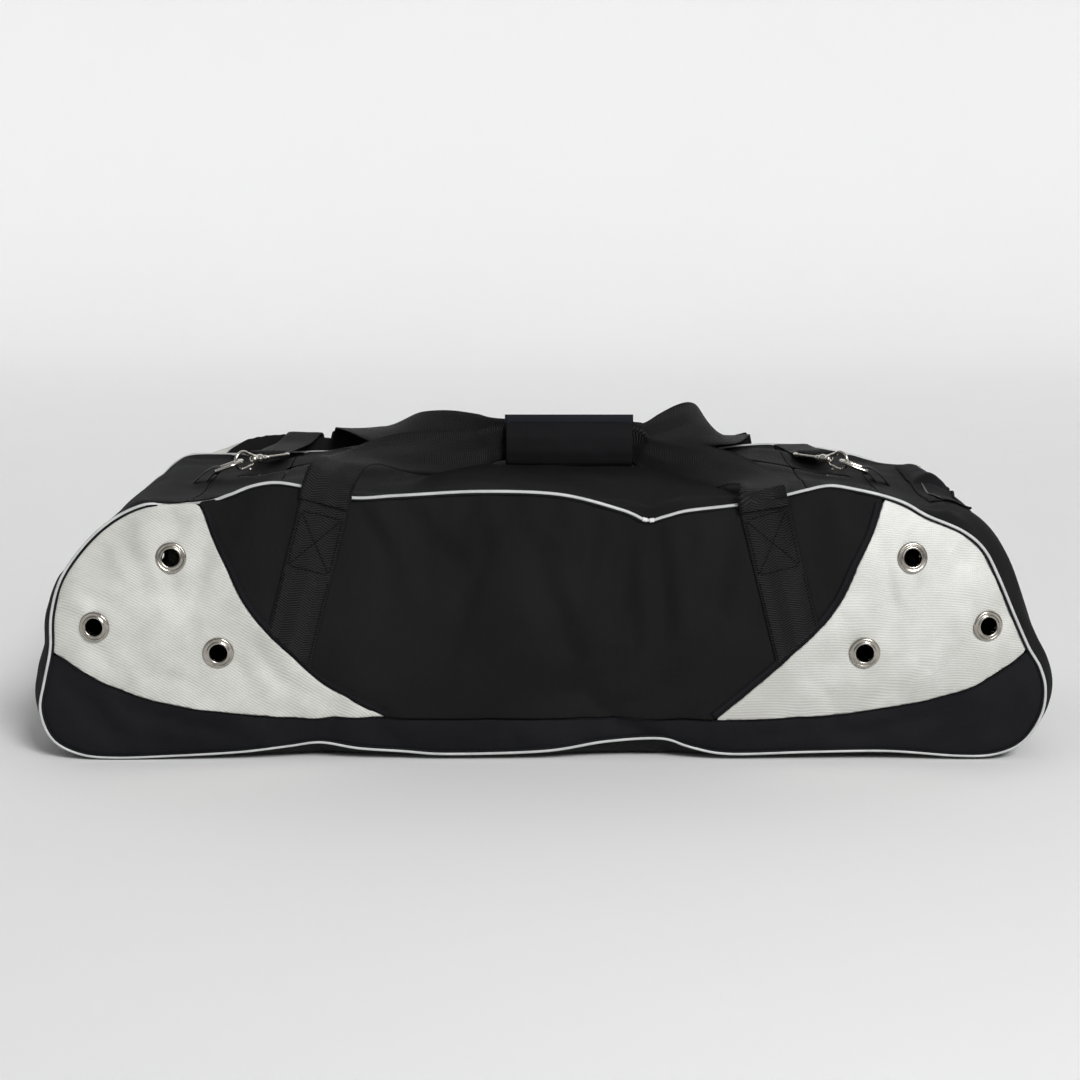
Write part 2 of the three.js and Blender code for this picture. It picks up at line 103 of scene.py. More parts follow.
def area_light(name, location, target, size, power):
    data = bpy.data.lights.new(name, "AREA")
    data.shape = "RECTANGLE"
    data.size, data.size_y = size
    data.energy = power
    light = link(name, data)
    light.location = location
    aim = Vector(target) - Vector(location)
    light.rotation_euler = aim.to_track_quat("-Z", "Y").to_euler()


def sun(name, height, turn, power, spread):
    """Even light from height degrees up, turn degrees round from the front to the right."""
    data = bpy.data.lights.new(name, "SUN")
    data.energy = power
    data.angle = math.radians(spread)
    link(name, data).rotation_euler = (math.radians(90 - height), 0, math.radians(turn))


look_from((-0.0015, -2.725, 0.652), 9.6, 85.9)
sun("key", 35, 24, 1.95, 18)
sun("rim", 50, 160, 0.15, 30)
area_light("softbox", (0.9, -1.9, 1.2), (0, 0, 0.15), (1.2, 0.7), 9)

world = bpy.data.worlds.new("studio")
world.use_nodes = True
sky = world.node_tree.nodes["Background"].inputs
sky["Color"].default_value = (1, 1, 1, 1)
sky["Strength"].default_value = 0.27
bpy.context.scene.world = world
bpy.context.scene.view_settings.view_transform = "Standard"

# ---------------------------------------------------------------- materials


class Paint:
    """A node material with short helpers for the nodes that the finishes share."""

    def __init__(self, name, roughness, metallic=0.0, **sockets):
        self.material = bpy.data.materials.new(name)
        self.material.use_nodes = True
        self.tree = self.material.node_tree
        self.shader = self.tree.nodes["Principled BSDF"]
        self.set("Roughness", roughness)
        self.set("Metallic", metallic)
        for socket, value in sockets.items():
            self.set(socket.replace("_", " "), value)

    def set(self, socket, value):
        self.shader.inputs[socket].default_value = value

    def node(self, kind, **inputs):
        made = self.tree.nodes.new(kind)
        for socket, value in inputs.items():
            self.feed(made, socket.replace("_", " "), value)
        return made

    def feed(self, node, socket, value):
        if isinstance(value, bpy.types.NodeSocket):
            self.tree.links.new(value, node.inputs[socket])
        else:
            node.inputs[socket].default_value = value

    def math(self, operation, a, b=0.0, c=0.0):
        made = self.tree.nodes.new("ShaderNodeMath")
        made.operation = operation
        for index, value in enumerate((a, b, c)):
            self.feed(made, index, value)
        return made.outputs[0]

    def plus(self, a, b):
        return self.math("ADD", a, b)

    def times(self, a, b):
        return self.math("MULTIPLY", a, b)

    def object_axes(self):
        coords = self.node("ShaderNodeTexCoord").outputs["Object"]
        return coords, self.node("ShaderNodeSeparateXYZ", Vector=coords).outputs

    def uv_axes(self):
        uv = self.tree.nodes.new("ShaderNodeUVMap")
        uv.uv_map = "UVMap"
        return self.node("ShaderNodeSeparateXYZ", Vector=uv.outputs["UV"]).outputs

    def noise(self, scale, detail=2.0):
        made = self.node("ShaderNodeTexNoise", Scale=scale, Detail=detail)
        self.feed(made, "Vector", self.object_axes()[0])
        return made.outputs["Fac"]

    def tone(self, value, dark, light, low=0.0, high=1.0):
        """A colour that runs from dark to light as value runs from low to high."""
        ramp = self.node("ShaderNodeMapRange", Value=value, From_Min=low, From_Max=high)
        mix = self.tree.nodes.new("ShaderNodeMix")
        mix.data_type = "RGBA"
        self.tree.links.new(ramp.outputs[0], mix.inputs[0])
        mix.inputs[6].default_value = (*dark, 1)
        mix.inputs[7].default_value = (*light, 1)
        self.tree.links.new(mix.outputs[2], self.shader.inputs["Base Color"])

    def spread_roughness(self, value, low, high):
        ramp = self.node("ShaderNodeMapRange", Value=value, To_Min=low, To_Max=high)
        self.tree.links.new(ramp.outputs[0], self.shader.inputs["Roughness"])

    def bump(self, height, distance, strength=1.0):
        made = self.node("ShaderNodeBump", Height=height, Distance=distance, Strength=strength)
        self.tree.links.new(made.outputs[0], self.shader.inputs["Normal"])


def weave_height(paint, across, along, thread):
    """Plain weave: two crossed sets of threads, each thread metres wide."""
    turn = math.pi / thread
    warp = paint.math("ABSOLUTE", paint.math("SINE", paint.times(across, turn)))
    weft = paint.math("ABSOLUTE", paint.math("SINE", paint.times(along, turn)))
    return paint.times(warp, weft)


def black_cloth(name, dark, light, thread=0.0011):
    paint = Paint(name, 0.75, Specular_IOR_Level=0.06)
    axes = paint.object_axes()[1]
    mottle = paint.noise(9.0, 4.0)
    fine = paint.noise(1400.0, 1.0)
    along = paint.plus(axes[1], axes[2])
    weave = weave_height(paint, axes[0], along, thread)
    grain = paint.plus(paint.times(weave, 0.6), paint.times(fine, 0.4))
    shade = paint.plus(paint.times(grain, 0.5), paint.times(mottle, 0.5))
    paint.tone(shade, dark, light, 0.2, 0.75)
    paint.spread_roughness(mottle, 0.6, 0.8)
    paint.bump(grain, 0.00035, 0.7)
    return paint.material


def silver_cloth(name, slope, dark, light, fade=0.0):
    """Coated silver cloth with fine ribs that run at slope degrees to the bag's length. The fade
    argument paints light into the colour: paler towards the top, darker towards the bottom."""
    paint = Paint(name, 0.5, Sheen_Weight=0.1, Coat_Weight=0.12, Coat_Roughness=0.35)
    axes = paint.object_axes()[1]
    turn = math.radians(slope)
    level = paint.plus(axes[2], axes[1])
    across = paint.plus(paint.times(axes[0], -math.sin(turn)), paint.times(level, math.cos(turn)))
    along = paint.plus(paint.times(axes[0], math.cos(turn)), paint.times(level, math.sin(turn)))
    pitch = 0.0027
    ribs = paint.math("SINE", paint.times(across, 2 * math.pi / pitch))
    ticks = paint.math("SINE", paint.times(along, 2 * math.pi / (pitch * 0.8)))
    cross = paint.times(ribs, ticks)
    relief = paint.plus(paint.times(ribs, 0.7), paint.times(cross, 0.3))
    mottle = paint.noise(26.0, 5.0)
    shade = paint.plus(paint.times(relief, 0.16), mottle)
    # Painted light: the colour grows paler with height and darker towards the bottom, as much as
    # fade says.
    shade = paint.plus(shade, paint.times(paint.math("SUBTRACT", axes[2], 0.15), fade))
    paint.tone(shade, dark, light, 0.2, 0.85)
    paint.spread_roughness(mottle, 0.42, 0.6)
    paint.bump(relief, 0.00022, 0.8)
    return paint.material


def webbing_cloth(name, dark, light):
    """Webbing with cross ribs that zigzag slightly. U runs across it and V along it, in
    metres."""
    paint = Paint(name, 0.6, Specular_IOR_Level=0.18)
    across, along = paint.uv_axes()[:2]
    slant = paint.plus(along, paint.times(paint.math("PINGPONG", across, 0.0125), 0.35))
    twill = paint.math("SINE", paint.times(slant, 2 * math.pi / 0.0024))
    fine = paint.times(paint.noise(900.0, 1.0), 0.6)
    relief = paint.plus(paint.times(twill, 0.55), fine)
    # Both edges of the webbing are darkened: painted shade in place of the shadow lines along its
    # edges (it also lowers the bump there).
    from_middle = paint.math("ABSOLUTE", paint.math("SUBTRACT", across, UV_MIDDLE * MM))
    painted_edge_shade = paint.times(paint.math("GREATER_THAN", from_middle, 0.0225), 0.45)
    relief = paint.math("SUBTRACT", relief, painted_edge_shade)
    paint.tone(relief, dark, light, -0.1, 0.85)
    paint.bump(relief, 0.0007, 1.0)
    return paint.material


def nickel(name, dark, light):
    paint = Paint(name, 0.2, 1.0, Coat_Weight=0.15)
    wear = paint.noise(160.0, 4.0)
    paint.tone(wear, dark, light, 0.3, 0.75)
    paint.spread_roughness(wear, 0.14, 0.3)
    paint.bump(paint.noise(420.0, 2.0), 0.00006, 0.5)
    return paint.material


def vinyl(name, dark, light):
    paint = Paint(name, 0.38, Coat_Weight=0.25, Coat_Roughness=0.25)
    paint.tone(paint.noise(60.0, 4.0), dark, light, 0.25, 0.75)
    paint.bump(paint.noise(700.0, 2.0), 0.00015, 0.6)
    return paint.material


BLACK = black_cloth("black_cloth", (0.0052, 0.0052, 0.0053), (0.0152, 0.0152, 0.0154))
BASE_BLACK = black_cloth("base_cloth", (0.0060, 0.0060, 0.0070), (0.0170, 0.0172, 0.0200))
WRAP_BLACK = black_cloth("wrap_cloth", (0.0050, 0.0050, 0.0056), (0.0150, 0.0150, 0.0165), 0.0016)
# The right panel's tones are lighter than the left's: partly its other cut of cloth, partly painted
# sheen. It also gets painted light towards the top.
SILVER = {
    -1: silver_cloth("silver_cloth_left", -30, (0.46, 0.46, 0.43), (0.68, 0.68, 0.64)),
    1: silver_cloth("silver_cloth_right_painted_light", 0, (0.48, 0.48, 0.45), (0.72, 0.72, 0.69), 3.0),
}
WEBBING = webbing_cloth("webbing", (0.0030, 0.0030, 0.0030), (0.0170, 0.0170, 0.0168))
BINDING = black_cloth("binding_cloth", (0.010, 0.011, 0.015), (0.024, 0.025, 0.032), 0.0009)
NICKEL = nickel("nickel", (0.60, 0.57, 0.52), (0.80, 0.77, 0.71))
# A darker copy of the nickel for the eyelet rings: painted shade that keeps them from reading as
# bright as the plain nickel.
SHADED_EYELET_NICKEL = nickel("eyelet_nickel_painted_shade", (0.34, 0.32, 0.28), (0.52, 0.49, 0.44))
PIPING = vinyl("piping_vinyl", (0.42, 0.43, 0.43), (0.62, 0.63, 0.62))
CLIP = vinyl("clip_enamel", (0.62, 0.62, 0.61), (0.78, 0.78, 0.77))
THREAD = black_cloth("thread", (0.002, 0.002, 0.002), (0.006, 0.006, 0.006), 0.0005)
ZIP = vinyl("zip_coil", (0.004, 0.004, 0.005), (0.010, 0.010, 0.012))
SLOTS = {
    "black_fabric": (BLACK, BASE_BLACK, BINDING), "wrap_fabric": (WRAP_BLACK,),
    "silver_fabric": tuple(SILVER.values()), "black_webbing": (WEBBING, THREAD),
    "nickel_metal": (NICKEL, SHADED_EYELET_NICKEL), "piping": (PIPING, CLIP), "zip_tape": (ZIP,),
}
SLOT_OF = {material.name: slot for slot, group in SLOTS.items() for material in group}

# ---------------------------------------------------------------- mesh helpers


def make(name, points, faces, material, body=None, replaces=(), uv=None, slot=None):
    """A mesh piece from points in millimetres. Its slot is worked out from the material, but not
    kept.
    """
    mesh = bpy.data.meshes.new(name)
    corners = [tuple(int(i) for i in f) for f in faces]
    mesh.from_pydata((np.asarray(points, float) * MM).tolist(), [], corners)
    mesh.materials.append(material)
    if uv is not None:
        layer = mesh.uv_layers.new(name="UVMap")
        corner = np.zeros(len(mesh.loops), np.int32)
        mesh.loops.foreach_get("vertex_index", corner)
        spots = np.asarray(uv, float)[corner] * MM
        layer.data.foreach_set("uv", spots.astype(np.float32).ravel())
    mesh.polygons.foreach_set("use_smooth", [True] * len(mesh.polygons))
    mesh.update()
    piece = link(name, mesh)
    if body:
        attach(piece, body)
    slot = slot or SLOT_OF.get(material.name)
    if replaces:
        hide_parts(*replaces)
    return piece


def subdivide(piece):
    fine = piece.modifiers.new("smooth", "SUBSURF")
    fine.levels = fine.render_levels = 1


def thicken(piece, thickness, offset=-1.0, fine=True):
    shell = piece.modifiers.new("thickness", "SOLIDIFY")
    shell.thickness = thickness * MM
    shell.offset = offset
    if fine:
        subdivide(piece)


def bevel(piece, radius):
    edge = piece.modifiers.new("edge", "BEVEL")
    edge.width = radius * MM
    edge.segments = 3


def even(points, count, closed=False):
    """count evenly spaced rows along a smooth curve through points. Columns after the
    third, such as a width, come along."""
    points = np.array(points, float)
    if closed:
        control = np.vstack([points[-1], points, points[:2]])
    else:
        control = np.vstack([2 * points[0] - points[1], points, 2 * points[-1] - points[-2]])
    t = np.linspace(0, 1, 24, endpoint=False)[:, None]
    dense = []
    for i in range(len(control) - 3):
        a, b, c, d = control[i:i + 4]
        dense.append(0.5 * (2 * b + (c - a) * t + (2 * a - 5 * b + 4 * c - d) * t ** 2
                            + (3 * b - a - 3 * c + d) * t ** 3))
    dense.append(points[0 if closed else -1][None])
    dense = np.vstack(dense)
    run = run_of(dense[:, :3])
    at = np.linspace(0, run[-1], count + 1 if closed else count)
    rows = np.column_stack([np.interp(at, run, column) for column in dense.T])
    return rows[:-1] if closed else rows


def run_of(points):
    """How far each point lies along a line of points."""
    return np.r_[0, np.cumsum(np.linalg.norm(np.diff(points, axis=0), axis=1))]


def unit(rows):
    return rows / np.maximum(np.linalg.norm(rows, axis=-1, keepdims=True), 1e-9)


def skin(count, ring):
    """Faces round count rings of ring points each, closed at both ends."""
    faces = [tuple(range(ring))[::-1]]
    for i in range(count - 1):
        for k in range(ring):
            a, b = i * ring + k, i * ring + (k + 1) % ring
            faces.append((a, b, b + ring, a + ring))
    faces.append(tuple((count - 1) * ring + k for k in range(ring)))
    return faces


def torus_faces(rings, ring):
    """Faces round rings of ring points each, with the last ring joined to the first."""
    faces = []
    for r in range(rings):
        for k in range(ring):
            a, b = r * ring + k, r * ring + (k + 1) % ring
            after = (r + 1) % rings * ring
            faces.append((a, b, after + (k + 1) % ring, after + k))
    return faces


def circle(count):
    """Evenly spaced angles of a whole turn."""
    return np.linspace(0, 2 * math.pi, count, endpoint=False)


def grid_faces(rows, columns):
    """Faces of a sheet of rows by columns cells."""
    starts = [r * (columns + 1) + c for r in range(rows) for c in range(columns)]
    return [(a, a + 1, a + columns + 2, a + columns + 1) for a in starts]


def band(name, stations, thickness, count, material, body, replaces=(), cells=8, cup=0.0):
    """Webbing along stations of [x, y, z, across x, y, z, width], with thin selvedges."""
    rows = even(stations, count)
    middle, side, width = rows[:, :3], rows[:, 3:6], rows[:, 6]
    along = unit(np.gradient(middle, axis=0))
    side = unit(side - along * (side * along).sum(1, keepdims=True))
    face = np.cross(along, side)
    run = run_of(middle)
    spots = np.linspace(-1, 1, cells + 1)
    section = [(a, 1 - 0.55 * abs(a) ** 10) for a in spots]
    section += [(a, -(1 - 0.55 * abs(a) ** 10)) for a in spots[::-1]]
    ring = len(section)
    points, uv = [], []
    for i in range(count):
        for a, b in section:
            lift = b * thickness / 2 - cup * (a * a)
            points.append(middle[i] + side[i] * a * width[i] / 2 + face[i] * lift)
            uv.append((a * width[i] / 2 + UV_MIDDLE, run[i]))
    return make(name, points, skin(count, ring), material, body, replaces, uv=uv)


def tube(name, points, radius, material, body, replaces=(), closed=False, sides=12):
    """A round rod through evenly spaced points, with one radius or one for each point."""
    rows = np.asarray(points, float)
    if closed:
        along = unit(np.roll(rows, -1, 0) - np.roll(rows, 1, 0))
    else:
        along = unit(np.gradient(rows, axis=0))
    normal = np.cross(along[0], [0.3, 0.2, 0.93])
    frames = []
    for t in along:
        normal = normal - t * (normal @ t)
        normal /= np.linalg.norm(normal)
        frames.append((normal.copy(), np.cross(t, normal)))
    verts, faces = [], []
    radii = radius if hasattr(radius, "__len__") else [radius] * len(rows)
    for p, (n, b), r in zip(rows, frames, radii):
        for k in range(sides):
            angle = 2 * math.pi * k / sides
            verts.append(p + r * (math.cos(angle) * n + math.sin(angle) * b))
    turns = len(rows) if closed else len(rows) - 1
    shift = 0
    if closed:
        gaps = np.linalg.norm(np.array(verts[:sides]) - verts[(len(rows) - 1) * sides], axis=1)
        shift = int(gaps.argmin())
    for i in range(turns):
        for k in range(sides):
            a, b = i * sides + k, i * sides + (k + 1) % sides
            if closed and i == turns - 1:
                c, d = (k + 1 + shift) % sides, (k + shift) % sides
            else:
                c, d = b + sides, a + sides
            faces.append((a, b, c, d))
    if not closed:
        faces.append(tuple(range(sides))[::-1])
        faces.append(tuple((len(rows) - 1) * sides + k for k in range(sides)))
    return make(name, verts, faces, material, body, replaces)


def wire(name, points, count, radius, body, replaces, sides=12):
    """A closed loop of metal wire on a smooth curve through points."""
    line = even(points, count, closed=True)
    tube(name, line, radius, NICKEL, body, replaces, closed=True, sides=sides)


def lathe(profile, sides=48):
    """Points and faces of a ring or turned piece about +Z. The profile closes on itself."""
    verts = []
    for k in range(sides):
        angle = 2 * math.pi * k / sides
        for r, h in profile:
            verts.append((r * math.cos(angle), r * math.sin(angle), h))
    return np.array(verts), [(a, d, c, b) for a, b, c, d in torus_faces(sides, len(profile))]


def stand_on(points, origin, normal):
    """Points made about the origin with +Z outward, moved onto a surface."""
    turn = Vector((0, 0, 1)).rotation_difference(Vector(normal)).to_matrix()
    return points @ np.array(turn).T + np.array(origin)


# ---------------------------------------------------------------- the sewn shell

# Sewn edge of the front panel in X and Z, from the middle of the base to the right.
FRONT_EDGE = [
    (3, 10), (65, 20), (120, 23), (150, 14), (189, 7), (270, 9), (348, 10), (420, 5), (458, 7),
    (485, 20), (502, 47), (505, 75), (498, 98), (488, 114), (473, 146), (454, 189), (439, 216),
    (417, 234), (382, 249), (361, 261), (338, 269), (312, 275), (286, 279), (264, 275),
    (232, 267), (196, 260), (146, 254), (128, 249.5), (113, 245.2), (106, 243.4), (99, 246),
    (78, 255), (18, 270), (-61, 273), (-141, 269), (-190, 267), (-236, 278), (-264, 282),
    (-288, 278), (-311, 269), (-337, 264), (-366, 261), (-393, 260), (-424, 246), (-453, 221),
    (-478, 186), (-489, 149), (-491, 114), (-498, 81), (-503, 51), (-492, 22), (-466, 7),
    (-431, 3), (-370, 5), (-303, 9), (-255, 15), (-222, 19), (-185, 13), (-141, 10), (-93, 7),
]
SILVER_EDGE = [
    (341, 281), (338, 264), (328, 232), (312, 199), (297, 166), (275, 136), (248, 110), (216, 81),
]
SILVER_TIPS = {-1: (156, 47), 1: (174, 45)}
BAND_EDGE = [
    (220, 46), (270, 48), (325, 54), (367, 61), (420, 75), (460, 94), (488, 112), (512, 126),
]
EYELETS = [(368, 208), (445, 139), (322, 113)]
EYELET_HOLE = 10.4

# Soft folds pressed into the front: from, to, depth and half width. They are mirrored at the
# back.
FOLDS = [
    ((112, 246), (126, 120), 5.0, 9), ((98, 236), (70, 150), 2.6, 11),
    ((-190, 262), (-138, 196), 4.0, 8), ((-150, 262), (-70, 190), 2.2, 12),
    ((190, 250), (166, 150), 2.6, 12), ((60, 40), (150, 100), 2.4, 12),
    ((-222, 24), (-190, 80), 3.2, 9), ((-60, 60), (60, 76), 1.8, 16),
    ((-20, 240), (40, 90), 1.8, 15), ((-478, 180), (-400, 150), 2.4, 7),
    ((-486, 150), (-390, 176), 2.0, 7), ((-330, 240), (-345, 160), 2.2, 8),
    ((-420, 236), (-386, 168), 2.4, 7), ((-300, 150), (-250, 66), 2.2, 7),
    ((-400, 96), (-340, 78), 2.0, 6), ((-270, 92), (-215, 62), 2.0, 5),
    ((460, 190), (402, 212), 2.8, 6), ((424, 226), (404, 176), 2.4, 6),
    ((470, 150), (400, 168), 2.2, 7), ((330, 232), (352, 150), 2.2, 8),
    ((380, 240), (352, 214), 2.4, 6), ((300, 150), (330, 80), 2.0, 8),
    ((252, 96), (300, 62), 2.2, 6), ((404, 108), (360, 76), 2.0, 6),
    ((-430, 60), (-300, 26), 2.4, 9), ((300, 20), (430, 60), 2.4, 9),
    ((130, 22), (60, 42), 3.0, 8),
]


def inside(points, loop):
    """Which points lie inside a closed loop, both in two dimensions."""
    x, z = np.asarray(points, float).T
    found = np.zeros(len(x), bool)
    for (x0, z0), (x1, z1) in zip(loop, np.roll(loop, -1, 0)):
        crosses = (z0 > z) != (z1 > z)
        with np.errstate(divide="ignore", invalid="ignore"):
            at = (x1 - x0) * (z - z0) / (z1 - z0) + x0
        found ^= crosses & (x < at)
    return found


def clear_of(line, loop, gap):
    """Which points of a line lie inside a loop and further than gap from it."""
    apart = np.linalg.norm(line[:, None] - loop[None], axis=2).min(1)
    return inside(line, loop) & (apart > gap)


def nearest(loop, point):
    """Index of the point of a loop that lies nearest to a point."""
    return int(np.linalg.norm(loop - point, axis=1).argmin())


def tree_of(points):
    """A search tree of points in two dimensions."""
    tree = KDTree(len(points))
    for i, p in enumerate(points):
        tree.insert((p[0], p[1], 0), i)
    tree.balance()
    return tree


def top_edge(rim):
    """The upper part of a rim, with X and Z in its first and last columns, in order of X."""
    upper = rim[rim[:, -1] > UPPER]
    return upper[np.argsort(upper[:, 0])]


def silver_edge(side, sign=-1):
    """Seam of one light panel, from the top down. At the back left it leans out at the top."""
    lean = 0.96 if side < 0 < sign else 0
    seam = [(side * (x + lean * max(0, z - 225)), z) for x, z in SILVER_EDGE]
    return np.array(seam + [(side * SILVER_TIPS[side][0], SILVER_TIPS[side][1])])


def band_edge():
    """Upper seam of the base band, from the left end to the right one."""
    right = [SILVER_TIPS[1]] + BAND_EDGE
    left = [(-x, z) for x, z in ([SILVER_TIPS[-1]] + BAND_EDGE)][::-1]
    return np.array(left + right, float)


def fine_edge(points, count):
    """A seam as count evenly spaced points in X and Z."""
    flat = np.column_stack([points, np.zeros(len(points))])
    return even(flat, count)[:, :2]


def panel_of(x, z, sign):
    """The name of the panel of the front or back that a point is on."""
    edge = band_edge()
    if z < np.interp(x, edge[:, 0], edge[:, 1]):
        return "base_band"
    side = 1 if x > 0 else -1
    seam = silver_edge(side, sign)
    silver = abs(x) > np.interp(z, seam[::-1, 1], np.abs(seam[::-1, 0]))
    return f"silver_panel_{END[side]}" if silver else "centre_panel"


def face_plan(loop, sign):
    """Triangles of a front or back: its seams and eyelet holes are edges of the mesh."""
    points = [tuple(p) for p in loop]
    edges = [(i, (i + 1) % len(loop)) for i in range(len(loop))]

    def add_line(line, closed=False):
        start, end = len(points), len(points) + len(line) - 1
        points.extend(tuple(p) for p in line)
        edges.extend((i, i + 1) for i in range(start, end))
        if closed:
            edges.append((end, start))
        return start, end

    for side in (-1, 1):
        seam = fine_edge(silver_edge(side, sign), 36)
        seam = seam[clear_of(seam, loop, 5)]
        edges.append((nearest(loop, seam[0]), add_line(seam)[0]))
    low = fine_edge(band_edge(), 110)
    low = low[clear_of(low, loop, 5)]
    first, last = add_line(low)
    edges.append((nearest(loop, low[0]), first))
    edges.append((last, nearest(loop, low[-1])))
    for x, z in EYELETS:
        for side in (-1, 1):
            turn = circle(16)
            hole = [side * x + EYELET_HOLE * np.cos(turn), z + EYELET_HOLE * np.sin(turn)]
            add_line(np.column_stack(hole), True)
    tree = tree_of(points)
    grid = []
    for row, z in enumerate(np.arange(2, 282, CELL * 0.866)):
        for x in np.arange(-505 + (row % 2) * CELL / 2, 506, CELL):
            if tree.find((x, z, 0))[2] > 0.6 * CELL:
                grid.append((x, z))
    grid = np.array(grid)
    points.extend(tuple(p) for p in grid[inside(grid, loop)])
    found = delaunay_2d_cdt([Vector(p) for p in points], edges, [], 0, 1e-4)
    where = np.array([tuple(v) for v in found[0]])
    origin = [min(o) if o else -1 for o in found[3]]
    faces = [f for f in found[2] if len(f) == 3]
    middles = np.array([where[list(f)].mean(0) for f in faces])
    good = inside(middles, loop)
    for x, z in EYELETS:
        for side in (-1, 1):
            good &= np.hypot(middles[:, 0] - side * x, middles[:, 1] - z) > EYELET_HOLE * 0.97
    kept = [f for f, ok in zip(faces, good) if ok]
    labels = [panel_of(*m, sign) for m, ok in zip(middles, good) if ok]
    return where, origin, kept, labels


def soften(values, times):
    """Values round a closed loop, averaged with their neighbours so many times."""
    for _ in range(times):
        values = 0.5 * values + 0.25 * (np.roll(values, 1) + np.roll(values, -1))
    return values


def back_edge(front):
    """The rear edge follows the front one but is calmer, with slow waves of its own."""
    calm = front.copy()
    calm[:, 1] = soften(front[:, 1], 60)
    calm[:, 0] = soften(front[:, 0], 4)
    wave = 3.2 * np.sin(calm[:, 0] / 71 + 0.6) + 1.8 * np.sin(calm[:, 0] / 29)
    calm[:, 1] += wave * (calm[:, 1] > UPPER) + 0.5 * np.abs(wave) * (calm[:, 1] < 30)
    upper = calm[:, 1] > UPPER
    sink = np.interp(calm[:, 0], [-430, -395, -330, -240, -190], [0, 1, 1, 0.8, 0])
    calm[:, 1] += upper * sink * (256.5 - calm[:, 1])
    return calm


def crest(x):
    """Height of the top along its middle."""
    at, heights = [0, 225, 262, 292, 350, 393, 430], [282, 281, 275, 266, 261.5, 251, 232]
    return float(np.interp(abs(x), at, heights))


def puff(x, z):
    """How far the strip swells past its sewn edge at a point of the outline."""
    if abs(x) < 380 and z > UPPER:
        return 5.0
    heights = [0, 30, 60, 95, 130, 190, 235]
    swell = [2, 3, 9, 16, 15, 8, 6] if x < 0 else [2, 3, 7, 15, 24, 30, 20]
    return float(np.interp(z, heights, swell))


def gusset_grid(front, back):
    """The strip between front and back as a grid of LOOP_POINTS by ROWS + 1 points."""
    grid = np.zeros((len(front), ROWS + 1, 3))
    smooth = np.column_stack([soften(front[:, 0], 6), soften(front[:, 1], 6)])
    step = np.roll(smooth, -1, 0) - np.roll(smooth, 1, 0)
    normal = unit(np.column_stack([step[:, 1], -step[:, 0]]))
    swell = soften(np.array([puff(x, z) for x, z in smooth]), 8)
    on_top = np.clip((400 - np.abs(smooth[:, 0])) / 60, 0, 1) * (smooth[:, 1] > 150)
    floor = np.clip((48 - smooth[:, 1]) / 22, 0, 1)
    floor *= np.clip((486 - np.abs(smooth[:, 0])) / 30, 0, 1)
    for j in range(ROWS + 1):
        v = j / ROWS
        y = (2 * v - 1) * FACE_Y
        from_edge = FACE_Y - abs(y)
        toward_middle = 1 - (abs(y) / FACE_Y) ** 1.9
        rise = 1 - math.exp(-from_edge / 13)
        edge = (1 - v) * front + v * back
        for i in range(len(front)):
            x, z = edge[i] + normal[i] * swell[i] * rise * (1 - on_top[i])
            top = z + (crest(x) - z) * toward_middle + 3.0 * rise
            z += (top - z) * on_top[i]
            lift = noise.noise(Vector((x / 80, y / 60, z / 80))) * 4.0
            lift += noise.noise(Vector((x / 30, y / 34, 5))) * 1.8
            lift *= rise * (1 - floor[i]) * (0.35 if abs(y) < 30 and on_top[i] > 0.5 else 1)
            if x > 415:
                ridges = 3.4 * math.exp(-((y + 22) / 8) ** 2) + 3.0 * math.exp(-((y - 14) / 8) ** 2)
                lift += ridges * min(1.0, (x - 415) / 12) * (1 - floor[i])
            x, z = x + normal[i, 0] * lift, z + normal[i, 1] * lift
            down = floor[i] * min(1, from_edge / 26)
            grid[i, j] = (x, y, max((1 - down) * z + down * FLOOR, FLOOR))
    return grid


def fold_depth(x, z):
    """How deep the folds press in at a point, less the low banks beside them."""
    depth = 0.0
    for (x0, z0), (x1, z1), deep, half in FOLDS:
        dx, dz = x1 - x0, z1 - z0
        length = math.hypot(dx, dz)
        t = ((x - x0) * dx + (z - z0) * dz) / length ** 2
        off = abs((x - x0) * dz - (z - z0) * dx) / length
        fade = max(0.0, 1 - abs(2 * t - 1) ** 3)
        if fade > 0 and off < 4 * half:
            bank = math.exp(-((off - 1.9 * half) / half) ** 2)
            wave = math.exp(-(off / half) ** 2) - 0.45 * bank
            depth += deep * fade * wave
    return depth


ROLL_ALONG = [-405, -375, -325, -290, -240, -200, -165], [0, 0.5, 0.95, 1, 0.85, 0.6, 0]


def face_points(where, loop, sign):
    """Front or back plan points in space: crowned, with folds and slow dents."""
    tree = tree_of(loop)
    mirror = -1 if sign > 0 else 1
    out = []
    for x, z in where:
        from_edge = tree.find((x, z, 0))[2]
        crown = 6.5 * (1 - math.exp(-from_edge / 30))
        dent = noise.noise(Vector((x / 120, z / 90, sign * 3))) * 4.0 * min(1, from_edge / 40)
        dent += noise.noise(Vector((x / 38, z / 38, sign * 9))) * 1.3 * min(1, from_edge / 20)
        fold = fold_depth(mirror * x, z) * min(1, from_edge / 8) * 0.9
        roll = slump = 0.0
        if sign > 0 and z > 120:  # the back's upper left is rolled over and sags
            along = float(np.interp(x, *ROLL_ALONG))
            roll = along * np.interp(from_edge, [0, 10, 20, 29, 39], [0, 26, 46, 44, 0])
            slump = along * np.interp(from_edge, [0, 10, 20, 29, 39, 70], [0, 0, 3, 8, 10, 0])
        out.append((x, sign * (FACE_Y + crown + dent - fold + slump), z + roll))
    return np.array(out)


